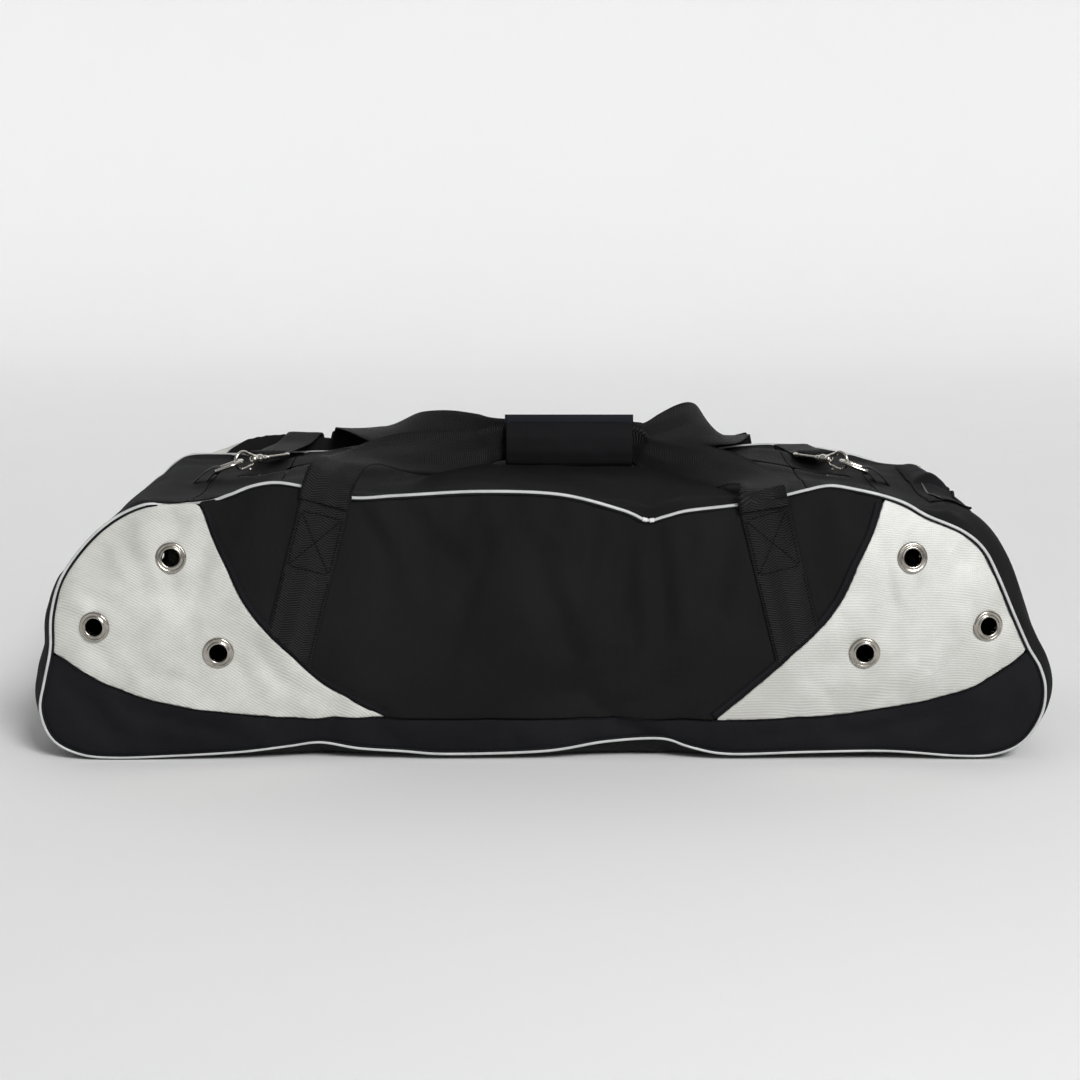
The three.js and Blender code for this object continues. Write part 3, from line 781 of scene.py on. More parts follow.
def sew_shell():
    """One welded mesh of the whole shell, with the name of the panel that each face is on."""
    front = even([(x, z, 0) for x, z in FRONT_EDGE], LOOP_POINTS, closed=True)[:, :2]
    back = back_edge(front)
    grid = gusset_grid(front, back)
    points = [tuple(p) for p in grid.reshape(-1, 3)]
    faces, labels = [], []
    n = len(front)
    middle_x = (front[:, 0] + np.roll(front[:, 0], -1)) / 2
    middle_z = (front[:, 1] + np.roll(front[:, 1], -1)) / 2
    for i in range(n):
        x, z = middle_x[i], middle_z[i]
        end = "left" if x < 0 else "right"
        for j in range(ROWS):
            a, b = i * (ROWS + 1) + j, ((i + 1) % n) * (ROWS + 1) + j
            faces.append((a, b, b + 1, a + 1))
            y = grid[i, j, 1] + FACE_Y / ROWS
            if z < 100 and abs(x) < BASE_SEAM_X:
                label = "bottom_panel"
            elif abs(x) > TOP_SEAM_X or z < 100:
                label = f"end_gusset_{end}"
            elif abs(y) < FACE_Y / ROWS * 1.5 and abs(x) < TOP_SEAM_X - 22:
                label = "zip_gap"
            elif abs(x) > LID_END:
                label = f"top_end_panel_{end}"
            else:
                label = "top_front_panel" if y < 0 else "top_back_panel"
            labels.append(label)
    for loop, (face, sign, row) in zip((front, back), FACES):
        where, origin, triangles, names = face_plan(loop, sign)
        space = face_points(where, loop, sign)
        index = {}
        for k, o in enumerate(origin):
            if 0 <= o < n:
                index[k] = o * (ROWS + 1) + row
            else:
                index[k] = len(points)
                points.append(tuple(space[k]))
        for f, name in zip(triangles, names):
            ring = [index[k] for k in f]
            flat = where[list(f)]
            turn = np.cross(flat[1] - flat[0], flat[2] - flat[0])
            if (turn > 0) != (sign < 0):
                ring.reverse()
            faces.append(tuple(ring))
            labels.append(f"{face}_{name}")
    return np.array(points), faces, labels


FARTHEST = 8.0  # how far the simulation may move a point
STEPS = 18  # how long it runs


def simulate(points, faces):
    """Lets the cloth relax under a little inner pressure, and caps how far a point moves."""
    mesh = bpy.data.meshes.new("cloth")
    mesh.from_pydata((points * MM).tolist(), [], faces)
    cloth = link("cloth", mesh)
    pins = cloth.vertex_groups.new(name="pins")
    low = [int(i) for i in np.flatnonzero(points[:, 2] < 6)]
    pins.add(low, 1.0, "REPLACE")
    sewn = [i * (ROWS + 1) + row for i in range(LOOP_POINTS) for row in (0, ROWS)]
    pins.add([i for i in sewn if points[i, 2] >= 6], 1.0, "REPLACE")
    bend = cloth.modifiers.new("cloth", "CLOTH")
    settings = bend.settings
    settings.quality = 6
    settings.mass = 0.35
    settings.tension_stiffness = 28
    settings.compression_stiffness = 12
    settings.shear_stiffness = 12
    settings.bending_stiffness = 0.35
    settings.use_pressure = True
    settings.uniform_pressure_force = 1.0
    settings.shrink_min = -0.016
    settings.vertex_group_mass = "pins"
    settings.effector_weights.gravity = 0.1
    bend.collision_settings.use_collision = False
    for step in range(1, STEPS + 1):
        bpy.context.scene.frame_set(step)
    depsgraph = bpy.context.evaluated_depsgraph_get()
    moved = cloth.evaluated_get(depsgraph).to_mesh()
    result = np.zeros(len(points) * 3)
    moved.vertices.foreach_get("co", result)
    result = result.reshape(-1, 3) / MM
    bpy.context.scene.frame_set(1)
    bpy.data.objects.remove(cloth)
    shift = result - points
    length = np.linalg.norm(shift, axis=1, keepdims=True)
    shift *= np.minimum(1, FARTHEST / np.maximum(length, 1e-6))
    result = points + shift
    result[:, 2] = np.maximum(result[:, 2], FLOOR)
    return result


points, shell_faces, shell_labels = sew_shell()
points = simulate(points, shell_faces)
shell_tree = BVHTree.FromPolygons([Vector(p) for p in points], shell_faces)
grid_points = points[:LOOP_POINTS * (ROWS + 1)].reshape(LOOP_POINTS, ROWS + 1, 3)


def cloth_panels():
    """A piece of cloth for each panel. The pieces lie on the root body, but the lids on none: they
    are only baked in place.
    """
    looks = {
        "silver_panel_left": SILVER[-1], "silver_panel_right": SILVER[1],
        "base_band": BASE_BLACK,
    }
    bodies = {"top_front_panel": "front_flap", "top_back_panel": "back_flap"}
    by_label = {}
    for face, label in zip(shell_faces, shell_labels):
        by_label.setdefault(label, []).append(face)
    for label, faces in by_label.items():
        if label == "zip_gap":
            continue
        used = sorted({i for f in faces for i in f})
        index = {old: new for new, old in enumerate(used)}
        look = looks.get(label.split("_", 1)[1], BLACK)
        corners = [tuple(index[i] for i in f) for f in faces]
        lid = bodies.get(label)
        body = None if lid else "root"
        piece = make(f"cloth_{label}", points[used], corners, look, body, [label])
        thicken(piece, CLOTH)
        if lid:
            sign = -1 if "front" in label else 1
            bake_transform(piece)


def on_face(x, z, sign):
    """Point and outward normal of the front (-1) or back (1) at X and Z."""
    hit = shell_tree.ray_cast(Vector((x, sign * FAR, z)), Vector((0, -sign, 0)))
    if hit[0] is None or hit[0][1] * sign < HALF_DEPTH / 2:
        hit = shell_tree.find_nearest(Vector((x, sign * (FACE_Y + 4), z)))
    normal = np.array(hit[1])
    if normal[1] * sign < 0:
        normal = -normal
    return np.array(hit[0]), normal


def on_top(x, y):
    """Point of the top at X and Y."""
    hit = shell_tree.ray_cast(Vector((x, y, 500)), Vector((0, 0, -1)))
    if hit[0] is None:
        hit = shell_tree.find_nearest(Vector((x, y, TOP)))
    return np.array(hit[0])


cloth_panels()

# ---------------------------------------------------------------- piping and seams


def piping(face, sign, row):
    """The cord and its flange round a face. At the front's upper left it is tucked away."""
    fine = even(grid_points[:, row], 640, closed=True)
    fine[:, 1] = fine[:, 1] + sign * 1.2
    away = unit((fine - np.array([0, 0, 130])) * [0.5, 0, 1])
    tucked = np.interp(fine[:, 0], [-392, -376, -330, -312], [0, 1, 1, 0])
    tucked = (tucked * (fine[:, 2] > UPPER) * (sign < 0))[:, None]
    fine = fine + away * (0.6 - 3.2 * tucked) - np.array([0, sign, 0]) * 4.5 * tucked
    tube(f"{face}_piping_cord", fine, 1.6, PIPING, "root", [f"{face}_piping"], closed=True,
         sides=10)
    flange = fine - away * 2.4
    tube(f"{face}_piping_seam", flange, 1.5, BASE_BLACK, "root", closed=True, sides=6)


def piping_clips():
    """Two small crimps that close the piping's cut in the front."""
    upper = top_edge(even(grid_points[:, 0], 900, closed=True))
    radii = [1.9, 2.3, 2.3, 2.05, 2.3, 2.3, 1.9]
    for number, x in enumerate((102.5, 109.5), 1):
        spots = np.array([[a, -FACE_Y - 1.4, np.interp(a, upper[:, 0], upper[:, 2]) + 0.6]
                          for a in np.linspace(x - 2.4, x + 2.4, 7)])
        tube(f"front_piping_clip_{number}", spots, radii, CLIP, "root", sides=14)


for face, sign, row in FACES:
    piping(face, sign, row)
piping_clips()


def stitches(name, lines, body, radius=0.38):
    """Short raised stitches along lines of surface points and normals."""
    length, pitch = 2.7, 3.9
    verts, faces = [], []
    for spots, normals in lines:
        run = run_of(spots)
        for start in np.arange(pitch / 2, run[-1] - length, pitch):
            at = np.array([start, start + length * 0.15, start + length * 0.85, start + length])
            p = np.column_stack([np.interp(at, run, c) for c in spots.T])
            n = unit(np.column_stack([np.interp(at, run, c) for c in normals.T]))
            side = unit(np.cross(n, p[3] - p[0]))
            base = len(verts)
            for k, size in enumerate((0.45, 1, 1, 0.45)):
                lift = p[k] + n[k] * radius * 0.4
                for a, b in ((-1, -0.6), (-0.7, 0.7), (0.7, 0.7), (1, -0.6)):
                    verts.append(lift + side[k] * a * radius * size + n[k] * b * radius * size)
            for k in range(3):
                for m in range(4):
                    a, b = base + 4 * k + m, base + 4 * k + (m + 1) % 4
                    faces.append((a, b, b + 4, a + 4))
            faces.append((base + 3, base + 2, base + 1, base))
            faces.append((base + 12, base + 13, base + 14, base + 15))
    return make(name, verts, faces, THREAD, body)


def trace_face(line, sign):
    """Points and normals of the front or back along a line in X and Z."""
    found = [on_face(x, z, sign) for x, z in line]
    return np.array([p for p, _ in found]), np.array([n for _, n in found])


def offset_line(line, distance):
    """A line moved sideways, to its left if distance is positive."""
    step = unit(np.gradient(line, axis=0))
    return line + np.column_stack([-step[:, 1], step[:, 0]]) * distance


def face_seams(face, sign):
    """A raised black edge beside each silver panel, and the stitch rows along the seams."""
    loop, rows = OUTLINE[sign], []
    for side in (-1, 1):
        seam = fine_edge(silver_edge(side, sign), 90)
        seam = seam[clear_of(seam, loop, 6)]
        if side < 0 < sign:
            seam = seam[seam[:, 1] < 217]  # the cloth is rolled over above this
        spots, normals = trace_face(offset_line(seam, -side * 3.6), sign)
        across = np.cross(normals, unit(np.gradient(spots, axis=0)))
        stations = np.column_stack([spots + normals * 0.5, across, np.full(len(spots), 7.4)])
        band(f"{face}_silver_binding_{END[side]}", stations, 1.3, 100, BASE_BLACK, "root", cells=4)
        for gap in (1.6, 6.0):
            at, out = trace_face(offset_line(seam, -side * gap), sign)
            rows.append((at + out * 1.1, out))
    low = fine_edge(band_edge(), 240)
    low = low[clear_of(low, loop, 6)]
    at, out = trace_face(offset_line(low, -2.2), sign)
    rows.append((at + out * 0.2, out))
    stitches(f"{face}_seam_stitches", rows, "root")


OUTLINE = {sign: grid_points[:, row][:, [0, 2]] for _, sign, row in FACES}
for face, sign, _ in FACES:
    face_seams(face, sign)

# ---------------------------------------------------------------- eyelets


def eyelets():
    """Rings of pressed metal. Their section is given as radius and height."""
    profile = [
        (8.7, -3.4), (8.7, 1.5), (9.2, 2.5), (10.1, 2.9), (11.0, 2.5), (11.6, 1.7), (12.2, 1.5),
        (12.9, 1.9), (13.8, 2.1), (14.8, 1.7), (15.5, 0.7), (15.6, -0.2), (14.0, -0.4),
        (10.0, -0.4), (9.8, -1.9), (13.4, -2.1), (13.4, -2.9), (10.4, -3.5),
    ]
    shape, faces = lathe(profile)
    for face, sign, _ in FACES:
        for number, (x, z) in enumerate(EYELETS, 1):
            for side in (-1, 1):
                ring = [(side * x + 12 * math.cos(t), z + 12 * math.sin(t)) for t in circle(12)]
                middle, normal = (rows.mean(0) for rows in trace_face(ring, sign))
                normal = unit(normal)
                place = stand_on(shape, middle + normal * 0.7, normal)
                name = f"{face}_grommet_{END[side]}_{number}"
                make(f"{name}_ring", place, faces, SHADED_EYELET_NICKEL, "root", [name])


eyelets()

# ---------------------------------------------------------------- handles


def leg(face, sign, side):
    """A handle leg sewn flat to the front or back, with a box and cross of stitches. Its
    foot is caught under the edge of the light panel."""
    end, half = END[side], 25
    mirror = -side * sign
    upper = top_edge(OUTLINE[sign])
    seam = silver_edge(mirror) * [side * mirror, 1]
    order = np.argsort(seam[:, 1])
    rows, cells = 44, 12
    line = np.column_stack([np.linspace(LEG_FEET[mirror], LEG_TOPS[mirror], rows) * side,
                            np.linspace(96, 276, rows)])
    tilt = unit(line[-1:] - line[:1])[0]
    across = np.array([tilt[1], -tilt[0]])
    verts, uv, alive = [], [], []
    for r, p in enumerate(line):
        for k in range(cells + 1):
            a = 2 * k / cells - 1
            x, z = p + across * a * half
            edge = np.interp(x, upper[:, 0], upper[:, 1])
            over = max(0.0, z - (edge - 5))
            spot = on_face(x, min(z, edge - 5), sign)[0]
            lift = 1.3 + 3.4 * min(1, over / 6)
            limit = np.interp(z, seam[order, 1], np.abs(seam[order, 0])) - 2.2
            alive.append(abs(x) < limit + 4)
            x = max(-limit, min(limit, x)) if abs(x) > limit else x
            verts.append((x, spot[1] + sign * lift, z))
            uv.append((a * half + UV_MIDDLE, r * 4.2))
    faces = [quad if sign < 0 else quad[::-1] for quad in grid_faces(rows - 1, cells)
             if all(alive[i] for i in quad)]
    piece = make(f"{face}_leg_webbing_{end}", verts, faces, WEBBING, "root",
                 [f"{face}_handle_leg_{end}"], uv=uv)
    thicken(piece, 1.8, offset=0.0)
    tree = BVHTree.FromPolygons([Vector(v) for v in verts], faces)

    def stitch_row(one, two):
        found = []
        for t in np.linspace(0, 1, 24):
            along, aside = one[0] + (two[0] - one[0]) * t, one[1] + (two[1] - one[1]) * t
            p = line[0] + (line[-1] - line[0]) * along + across * aside * half
            hit = tree.ray_cast(Vector((p[0], sign * FAR, p[1])), Vector((0, -sign, 0)))
            if hit[0] is not None:
                found.append(np.array(hit[0]) + np.array([0, sign * 1.1, 0]))
        return np.array(found), np.tile([0.0, sign, 0.0], (len(found), 1))

    box = [(0.56, -0.84), (0.56, 0.84), (0.86, 0.84), (0.86, -0.84)]
    pairs = [(box[i], box[(i + 1) % 4]) for i in range(4)] + [(box[0], box[2]), (box[1], box[3])]
    pairs += [((0.05, -0.88), (0.52, -0.88)), ((0.05, 0.88), (0.52, 0.88))]
    stitched = [stitch_row(*pair) for pair in pairs]
    stitched = [row for row in stitched if len(row[0]) > 3]
    stitches(f"{face}_leg_stitches_{end}", stitched, "root", radius=0.5)


# Stations of the handle loops: X, Y, Z, the direction across the webbing, and its width.
FRONT_LOOP = [
    (-216, -205.5, 262, 0.97, 0, -0.2, 50), (-212, -205, 277, 0.98, 0.05, -0.15, 50),
    (-207, -197, 290, 0.95, 0.3, -0.1, 50), (-199, -178, 297.5, 0.9, 0.4, -0.05, 49),
    (-184, -154, 299.5, 0.75, -0.55, -0.15, 48), (-160, -126, 299, 0.3, -0.75, -0.45, 48),
    (-130, -94, 297, 0.05, -0.62, -0.75, 49), (-98, -66, 294, 0, -0.4, -0.9, 48),
    (-68, -44, 294, 0, -0.25, -0.97, 42), (-44, -30, 299, 0, -0.1, -1, 36),
    (29, -26, 303, 0, 0, -1, 37), (92, -27, 300, 0, 0, -1, 36),
    (108, -36, 290, 0, -0.3, -0.95, 34), (132, -60, 284, 0, -0.5, -0.85, 44),
    (158, -88, 282.5, -0.05, -0.6, -0.8, 50), (186, -116, 281, -0.2, -0.75, -0.6, 50),
    (208, -142, 279.5, -0.5, -0.8, -0.25, 50), (222, -168, 277, -0.85, -0.5, -0.05, 50),
    (222, -191, 274, -0.98, -0.1, 0.12, 50), (219.5, -203.5, 268, -0.97, 0, 0.22, 50),
    (221, -206, 257, -0.97, 0, 0.22, 50),
]
BACK_LOOP = [
    (-217, 206, 256, -0.97, 0, 0.2, 50), (-214, 205, 272, -0.98, 0, 0.15, 50),
    (-209, 194, 285, -1, 0, 0, 50), (-203, 170, 290, -0.95, -0.3, 0, 50),
    (-190, 143, 291.5, -0.75, -0.65, -0.1, 50), (-168, 115, 293, -0.4, -0.8, -0.4, 50),
    (-136, 84, 297, -0.1, -0.6, -0.75, 50), (-102, 52, 300.5, 0, -0.4, -0.9, 49),
    (-70, 18, 303, 0, -0.2, -0.98, 44), (-44, -5, 304, 0, -0.05, -1, 38),
    (29, -10, 304, 0, 0, -1, 37), (94, -8, 303, 0, 0, -1, 34), (110, 6, 301, 0, -0.1, -1, 32),
    (132, 30, 304, 0, -0.25, -0.97, 42), (160, 58, 308, 0.05, -0.35, -0.95, 50),
    (184, 88, 302, 0.45, -0.5, -0.75, 50), (196, 118, 292, 0.8, -0.35, -0.45, 50),
    (204, 150, 284, 0.96, -0.1, -0.15, 50), (211, 182, 280, 1, 0, 0, 50),
    (215, 203, 271, 0.98, 0, 0.15, 50), (218, 206, 256, 0.97, 0, 0.2, 50),
]
# X of the upper and lower end of the legs' middle line, at the left and right of the front.
LEG_TOPS = {-1: 211, 1: 216}
LEG_FEET = {-1: 257, 1: 261}

for (face, sign, _), stations in zip(FACES, (FRONT_LOOP, BACK_LOOP)):
    for side in (-1, 1):
        leg(face, sign, side)
    loop = band(f"{face}_loop_webbing", stations, 1.9, 190, WEBBING, None,
                [f"{face}_handle_loop"], cells=10, cup=1.2)
    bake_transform(loop)


def ring_section(height, depth, corner, turns=6):
    """A rounded rectangle in Y and Z, as a loop of points."""
    out = []
    for k, (sy, sz) in enumerate(((1, 1), (-1, 1), (-1, -1), (1, -1))):
        for t in np.linspace(0, math.pi / 2, turns):
            angle = k * math.pi / 2 + t
            out.append((sy * (depth / 2 - corner) + corner * math.cos(angle),
                        sz * (height / 2 - corner) + corner * math.sin(angle)))
    return np.array(out)


WRAP_LOW, WRAP_HIGH = cad("handle_wrap")
WRAP_Y = (WRAP_LOW[1] + WRAP_HIGH[1]) / 2


def padded_wrap():
    """The padded sleeve around both loops. Its edges come together in a flat fin on top."""
    x0, x1 = WRAP_LOW[0], WRAP_HIGH[0]
    low, high = WRAP_LOW[2] - 3, WRAP_HIGH[2] - 7
    middle = (low + high) / 2
    count = 36

    def pinch(h):
        return 1 - 0.55 * np.clip((h - (high - low) / 2 + 14) / 14, 0, 1)

    outer, inner = ring_section(high - low, 44, 18), ring_section(high - low - 6, 38, 15)
    verts = []
    xs = np.linspace(x0 + 0.5, x1 - 0.5, count)
    for x in xs:
        t = 2 * (x - x0) / (x1 - x0) - 1
        swell = 1.02 - 0.07 * abs(t) ** 8
        for y, h in outer:
            crease = 1 + 0.02 * noise.noise(Vector((x / 16, y / 18, h / 18)))
            verts.append((x, WRAP_Y + y * swell * crease * pinch(h), middle + h * swell * crease))
    for x in xs[::-1]:
        for y, h in inner:
            verts.append((x, WRAP_Y + y * pinch(h), middle + h))
    faces = torus_faces(2 * count, len(outer))
    piece = make("padded_handle_wrap", verts, faces, WRAP_BLACK, "back_handle", ["handle_wrap"])
    subdivide(piece)


def cover_profile(v):
    """Y and Z of the cover from its sewn foot, v = 0, to its free edge, v = 1."""
    front = WRAP_Y - 24.5
    low, high = WRAP_LOW[2], WRAP_HIGH[2]
    path = [(front + 9, low - 5.5), (front + 1.5, low + 1), (front - 1.2, low + 12),
            (front - 0.6, low + 26), (front + 5, high - 13), (WRAP_Y - 14.5, high - 7),
            (WRAP_Y - 13.2, high + 0.5)]
    at = np.linspace(0, 1, len(path))
    return np.interp(v, at, [p[0] for p in path]), np.interp(v, at, [p[1] for p in path])


def bend_at_foot(piece):
    """The foot of the cover is sewn to the wrap. This only bakes the piece's place into its mesh;
    nothing bends it here.
    """
    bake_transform(piece)


def wrap_cover():
    """The cover that closes the wrap: a padded sheet with a bound free edge."""
    x0, x1 = WRAP_LOW[0] - 0.6, WRAP_HIGH[0] + 0.6
    rows, columns = 26, 34
    verts = []
    for r in range(rows + 1):
        y, z = cover_profile(r / rows)
        for c in range(columns + 1):
            x = x0 + (x1 - x0) * c / columns
            soft = noise.noise(Vector((x / 22, z / 15, 4))) * 1.3 * math.sin(math.pi * r / rows)
            droop = 1.6 * math.sin(math.pi * c / columns) * (1 - r / rows) ** 2
            verts.append((x, y - soft, z - droop))
    piece = make("wrap_cover_pad", verts, grid_faces(rows, columns), WRAP_BLACK, None,
                 ["wrap_flap"])
    thicken(piece, 2.8, offset=1.0)
    bend_at_foot(piece)
    y, z = cover_profile(0.94)
    strip = [(x, y - 3.4, z - 1.6, 0, 0.1, 1, 10.5) for x in np.linspace(x0 - 0.8, x1 + 0.8, 12)]
    band("wrap_cover_binding", strip, 2.0, 40, BINDING, "wrap_cover", cells=6, cup=0.5)
    rows = []
    for v in (0.845, 0.12):
        y, z = cover_profile(v)
        spots = np.array([(x, y - 3.6, z) for x in np.linspace(x0 + 3, x1 - 3, 30)])
        rows.append((spots, np.tile([0.0, -1.0, 0.0], (30, 1))))
    bend_at_foot(stitches("wrap_cover_stitches", rows, None, radius=0.4))


padded_wrap()
wrap_cover()

# ---------------------------------------------------------------- zips


def teeth(name, x_from, x_to, body, place):
    """A nylon coil: small leaning loops on both sides of the middle, half a pitch apart."""
    pitch, spots = 2.6, [(-0.2, 0.0), (1.4, 1.5), (3.2, 1.1), (3.6, 0.0)]
    verts, faces = [], []
    for x in np.arange(x_from + 1.5, x_to - 1, pitch):
        for side in (-1, 1):
            shift = pitch / 2 if side > 0 else 0
            base = len(verts)
            for out, up in spots:
                for w in (-0.55, 0.55):
                    verts.append(place(x + shift + w, side * out, up))
            for k in range(3):
                a = base + 2 * k
                faces.append((a, a + 1, a + 3, a + 2))
    thicken(make(name, verts, faces, ZIP, body), 0.9, fine=False)


crest_line = top_edge(grid_points[:, ROWS // 2])
ZIP_X = crest_line[:, 0]
ZIP_Z = np.convolve(np.pad(crest_line[:, 2], 2, "edge"), np.ones(5) / 5, "valid")


def zip_level(x):
    """Height of the bag along its middle, where the zip runs."""
    return float(np.interp(x, ZIP_X, ZIP_Z))


def on_zip(x, y, up):
    """A point of the coil, up above its seat."""
    return x, y, zip_level(x) - 0.8 + up


def length_zip():
    """A tape on each lid, the coil on the front one, and the short fixed ends."""
    for face, sign, _ in FACES:
        xs = np.linspace(-LID_END + 1, LID_END - 1, 90)
        stations = [(x, sign * 6.9, zip_level(x) - 1.2, 0, 1, 0, 13.0) for x in xs]
        band(f"{face}_zip_cloth", stations, 1.1, 180, ZIP, f"{face}_flap",
             [f"{face}_zip_tape"], cells=4)
    for side, end in END.items():
        xs = np.linspace(LID_END + 1, TOP_SEAM_X - 21, 12) * side
        stations = [(x, 0, zip_level(x) - 1.2, 0, 1, 0, 26.0) for x in xs]
        band(f"zip_end_{end}", stations, 1.1, 30, ZIP, "root", cells=6)
        low, high = sorted((xs[0], xs[-1]))
        teeth(f"zip_end_coil_{end}", low, high, "root", on_zip)
    teeth("zip_coil_lid", -LID_END + 2, LID_END - 2, "front_flap", on_zip)


length_zip()


def soft_box(name, low, high, radius, body, replaces=()):
    """A metal box with rounded edges, from its corners in millimetres."""
    low, high = np.array(low, float), np.array(high, float)
    corners = [(x, y, z) for x in (0, 1) for y in (0, 1) for z in (0, 1)]
    verts = [low + (high - low) * np.array(c) for c in corners]
    faces = [(0, 1, 3, 2), (4, 6, 7, 5), (0, 4, 5, 1), (2, 3, 7, 6), (0, 2, 6, 4), (1, 5, 7, 3)]
    bevel(make(name, verts, faces, NICKEL, body, replaces), radius)


def sliders():
    """The two sliders of the main zip, each with its bridge and wire pull."""
    for side, end in END.items():
        body, pull = f"zip_slider_{end}", f"zip_pull_{end}"
        low, high = cad(body)
        x = (low[0] + high[0]) / 2
        z = zip_level(x) + 1.2
        soft_box(f"{body}_top", (x - 10, -6.0, z + 2.0), (x + 10, 5.0, z + 4.0), 0.9, body, [body])
        neck = x - 6 * side
        soft_box(f"{body}_neck", (neck - 2.2, -3.2, z - 1.4), (neck + 2.2, 2.2, z + 2.4), 0.6, body)
        arch = [(x + side * a, -0.5, z + up)
                for a, up in ((-5, 3.6), (-4, 5.9), (1, 6.4), (4, 5.6), (4.6, 3.6))]
        tube(f"{body}_bridge", even(arch, 18), 0.9, NICKEL, body, sides=8)
        low, high = cad(pull)
        far = high[0] if side > 0 else low[0]
        near = x + side * 1.5
        lie = z + 4.9
        loop = [
            (near, -3.2, lie), (near + side * 6, -3.8, lie), (far - side * 6, -4.2, lie - 1.5),
            (far - side, -3.0, lie - 2), (far, -0.5, lie - 2), (far - side, 2.0, lie - 2),
            (far - side * 6, 3.2, lie - 1.5), (near + side * 6, 2.8, lie), (near, 2.2, lie),
            (near - side, -0.5, lie),
        ]
        wire(f"{pull}_loop", loop, 60, 1.0, pull, [pull], sides=8)


sliders()

# ---------------------------------------------------------------- D-rings and snap hooks


RING_TILT = math.radians(20)
RING_REACH, RING_HALF = 28.0, 14.0
RING_BAR_X, RING_BAR_Z = 346.0, 267.0
RING_END_X = RING_BAR_X - RING_REACH * math.cos(RING_TILT)
RING_END_Z = RING_BAR_Z + RING_REACH * math.sin(RING_TILT)


def dring(side):
    """A D-ring, and the webbing tab folded round its bar."""
    end = END[side]

    def place(reach, y):
        x = side * (RING_BAR_X - reach * math.cos(RING_TILT))
        return x, y, RING_BAR_Z + reach * math.sin(RING_TILT)

    spots = [(0, 0), (0, -8.5), (0.8, -13.2), (5, -RING_HALF), (14, -RING_HALF)]
    for t in np.linspace(-1.2, 1.2, 9):
        spots.append((14 + 14 * math.cos(t), RING_HALF * math.sin(t)))
    spots += [(14, RING_HALF), (5, RING_HALF), (0.8, 13.2), (0, 8.5)]
    loop = [place(*spot) for spot in spots]
    wire(f"dring_wire_{end}", loop, 110, 2.0, f"dring_{end}", [f"dring_{end}"])
    far, near = on_top(side * (RING_BAR_X + 24), 0), on_top(side * (RING_BAR_X + 12), 0)
    x, z = RING_BAR_X, RING_BAR_Z
    fold = [
        (x + 26, far[2] + 0.8), (x + 13, max(near[2] + 2.6, z - 2.6)), (x + 3, z + 3.0),
        (x - 2.4, z + 2.4), (x - 3.4, z - 0.4), (x - 1.6, z - 3.2), (x + 3, z - 3.6),
        (x + 13, near[2] + 0.4), (x + 26, far[2] - 1.4),
    ]
    stations = [(side * a, 0, b, 0, 1, 0, 20.5) for a, b in fold]
    band(f"dring_fold_{end}", stations, 1.5, 60, WEBBING, "root", [f"dring_tab_{end}"], cells=5)


def hook_place(side, rows):
    """Hook points, made about the bow's centre with +Y towards the barrel, put in place."""
    slant = math.radians(45) * side
    rows = np.array(rows, float) + [0, 1.5, 0]
    x = rows[:, 0] * math.cos(slant) - rows[:, 1] * math.sin(slant)
    y = rows[:, 0] * math.sin(slant) + rows[:, 1] * math.cos(slant)
    return np.column_stack([x + side * RING_END_X, y, rows[:, 2] + RING_END_Z])


def snap_hook(side):
    """The hook's bow, barrel and gate, and the swivel eye that holds the strap."""
    end = END[side]
    arc = [(0, 15, 0.8), (0, 12, 4.6)]
    for t in np.radians(np.linspace(44, 246, 16)):
        arc.append((0, 9.5 * math.cos(t), 9.5 * math.sin(t)))
    rows = even(arc, 60)
    radii = [1.9 + 0.6 * math.exp(-(i / 9) ** 2) - 0.3 * (i / 60) ** 4 for i in range(60)]
    tube(f"hook_bow_{end}", hook_place(side, rows), radii, NICKEL, "shoulder_strap",
         [f"hook_{end}"])
    turned = [(0.4, 12), (3.4, 12), (4.8, 13.2), (5.0, 15.4), (4.0, 17.4), (3.6, 19), (4.8, 21),
              (5.2, 23.4), (4.8, 25.6), (3.0, 27), (2.6, 28.2), (3.5, 29.2), (3.4, 31.4), (2.2, 33),
              (0.4, 33.4)]
    shape, faces = lathe(turned, 28)
    shape = np.column_stack([shape[:, 0], shape[:, 2], shape[:, 1]])
    faces = [f[::-1] for f in faces]
    make(f"hook_barrel_{end}", hook_place(side, shape), faces, NICKEL, "shoulder_strap")
    gate = f"hook_gate_{end}"
    lever = even([(0, 14.4, -5), (0, 9, -6.6), (0, 3.4, -8.4), (0, -1.6, -9.0)], 20)
    tube(f"{gate}_lever", hook_place(side, lever), 1.4, NICKEL, gate, [gate], sides=10)
    thumb = even([(0, 8.0, -6.6), (0, 9.6, -9.4), (0, 10.4, -10.9)], 8)
    radii = [1.0, 1.0, 1.0, 1.1, 1.4, 1.9, 1.9, 1.2]
    tube(f"{gate}_thumb", hook_place(side, thumb), radii, NICKEL, gate, sides=10)
    low, high = cad(f"swivel_eye_{end}")
    x, z = (low[0] + high[0]) / 2, RING_END_Z
    half = (high[0] - low[0]) / 2 - 1.8
    bar, near = high[1] - 1.8, low[1] + 1.8
    loop = [(0, bar), (-half * 0.7, bar), (-half, bar - 1.2), (-half, bar - 5),
            (-half * 0.6, near + 9), (-5, near + 0.8), (0, near - 0.4), (5, near + 0.8),
            (half * 0.6, near + 9), (half, bar - 5), (half, bar - 1.2), (half * 0.7, bar)]
    loop = [(x + a, b, z) for a, b in loop]
    wire(f"eye_wire_{end}", loop, 100, 1.8, "shoulder_strap", [f"swivel_eye_{end}"])


for side in (-1, 1):
    dring(side)
    snap_hook(side)

# ---------------------------------------------------------------- shoulder strap


STRAP_X, STRAP_BAR_Y = 298, 56.0  # the swivel eye's bar


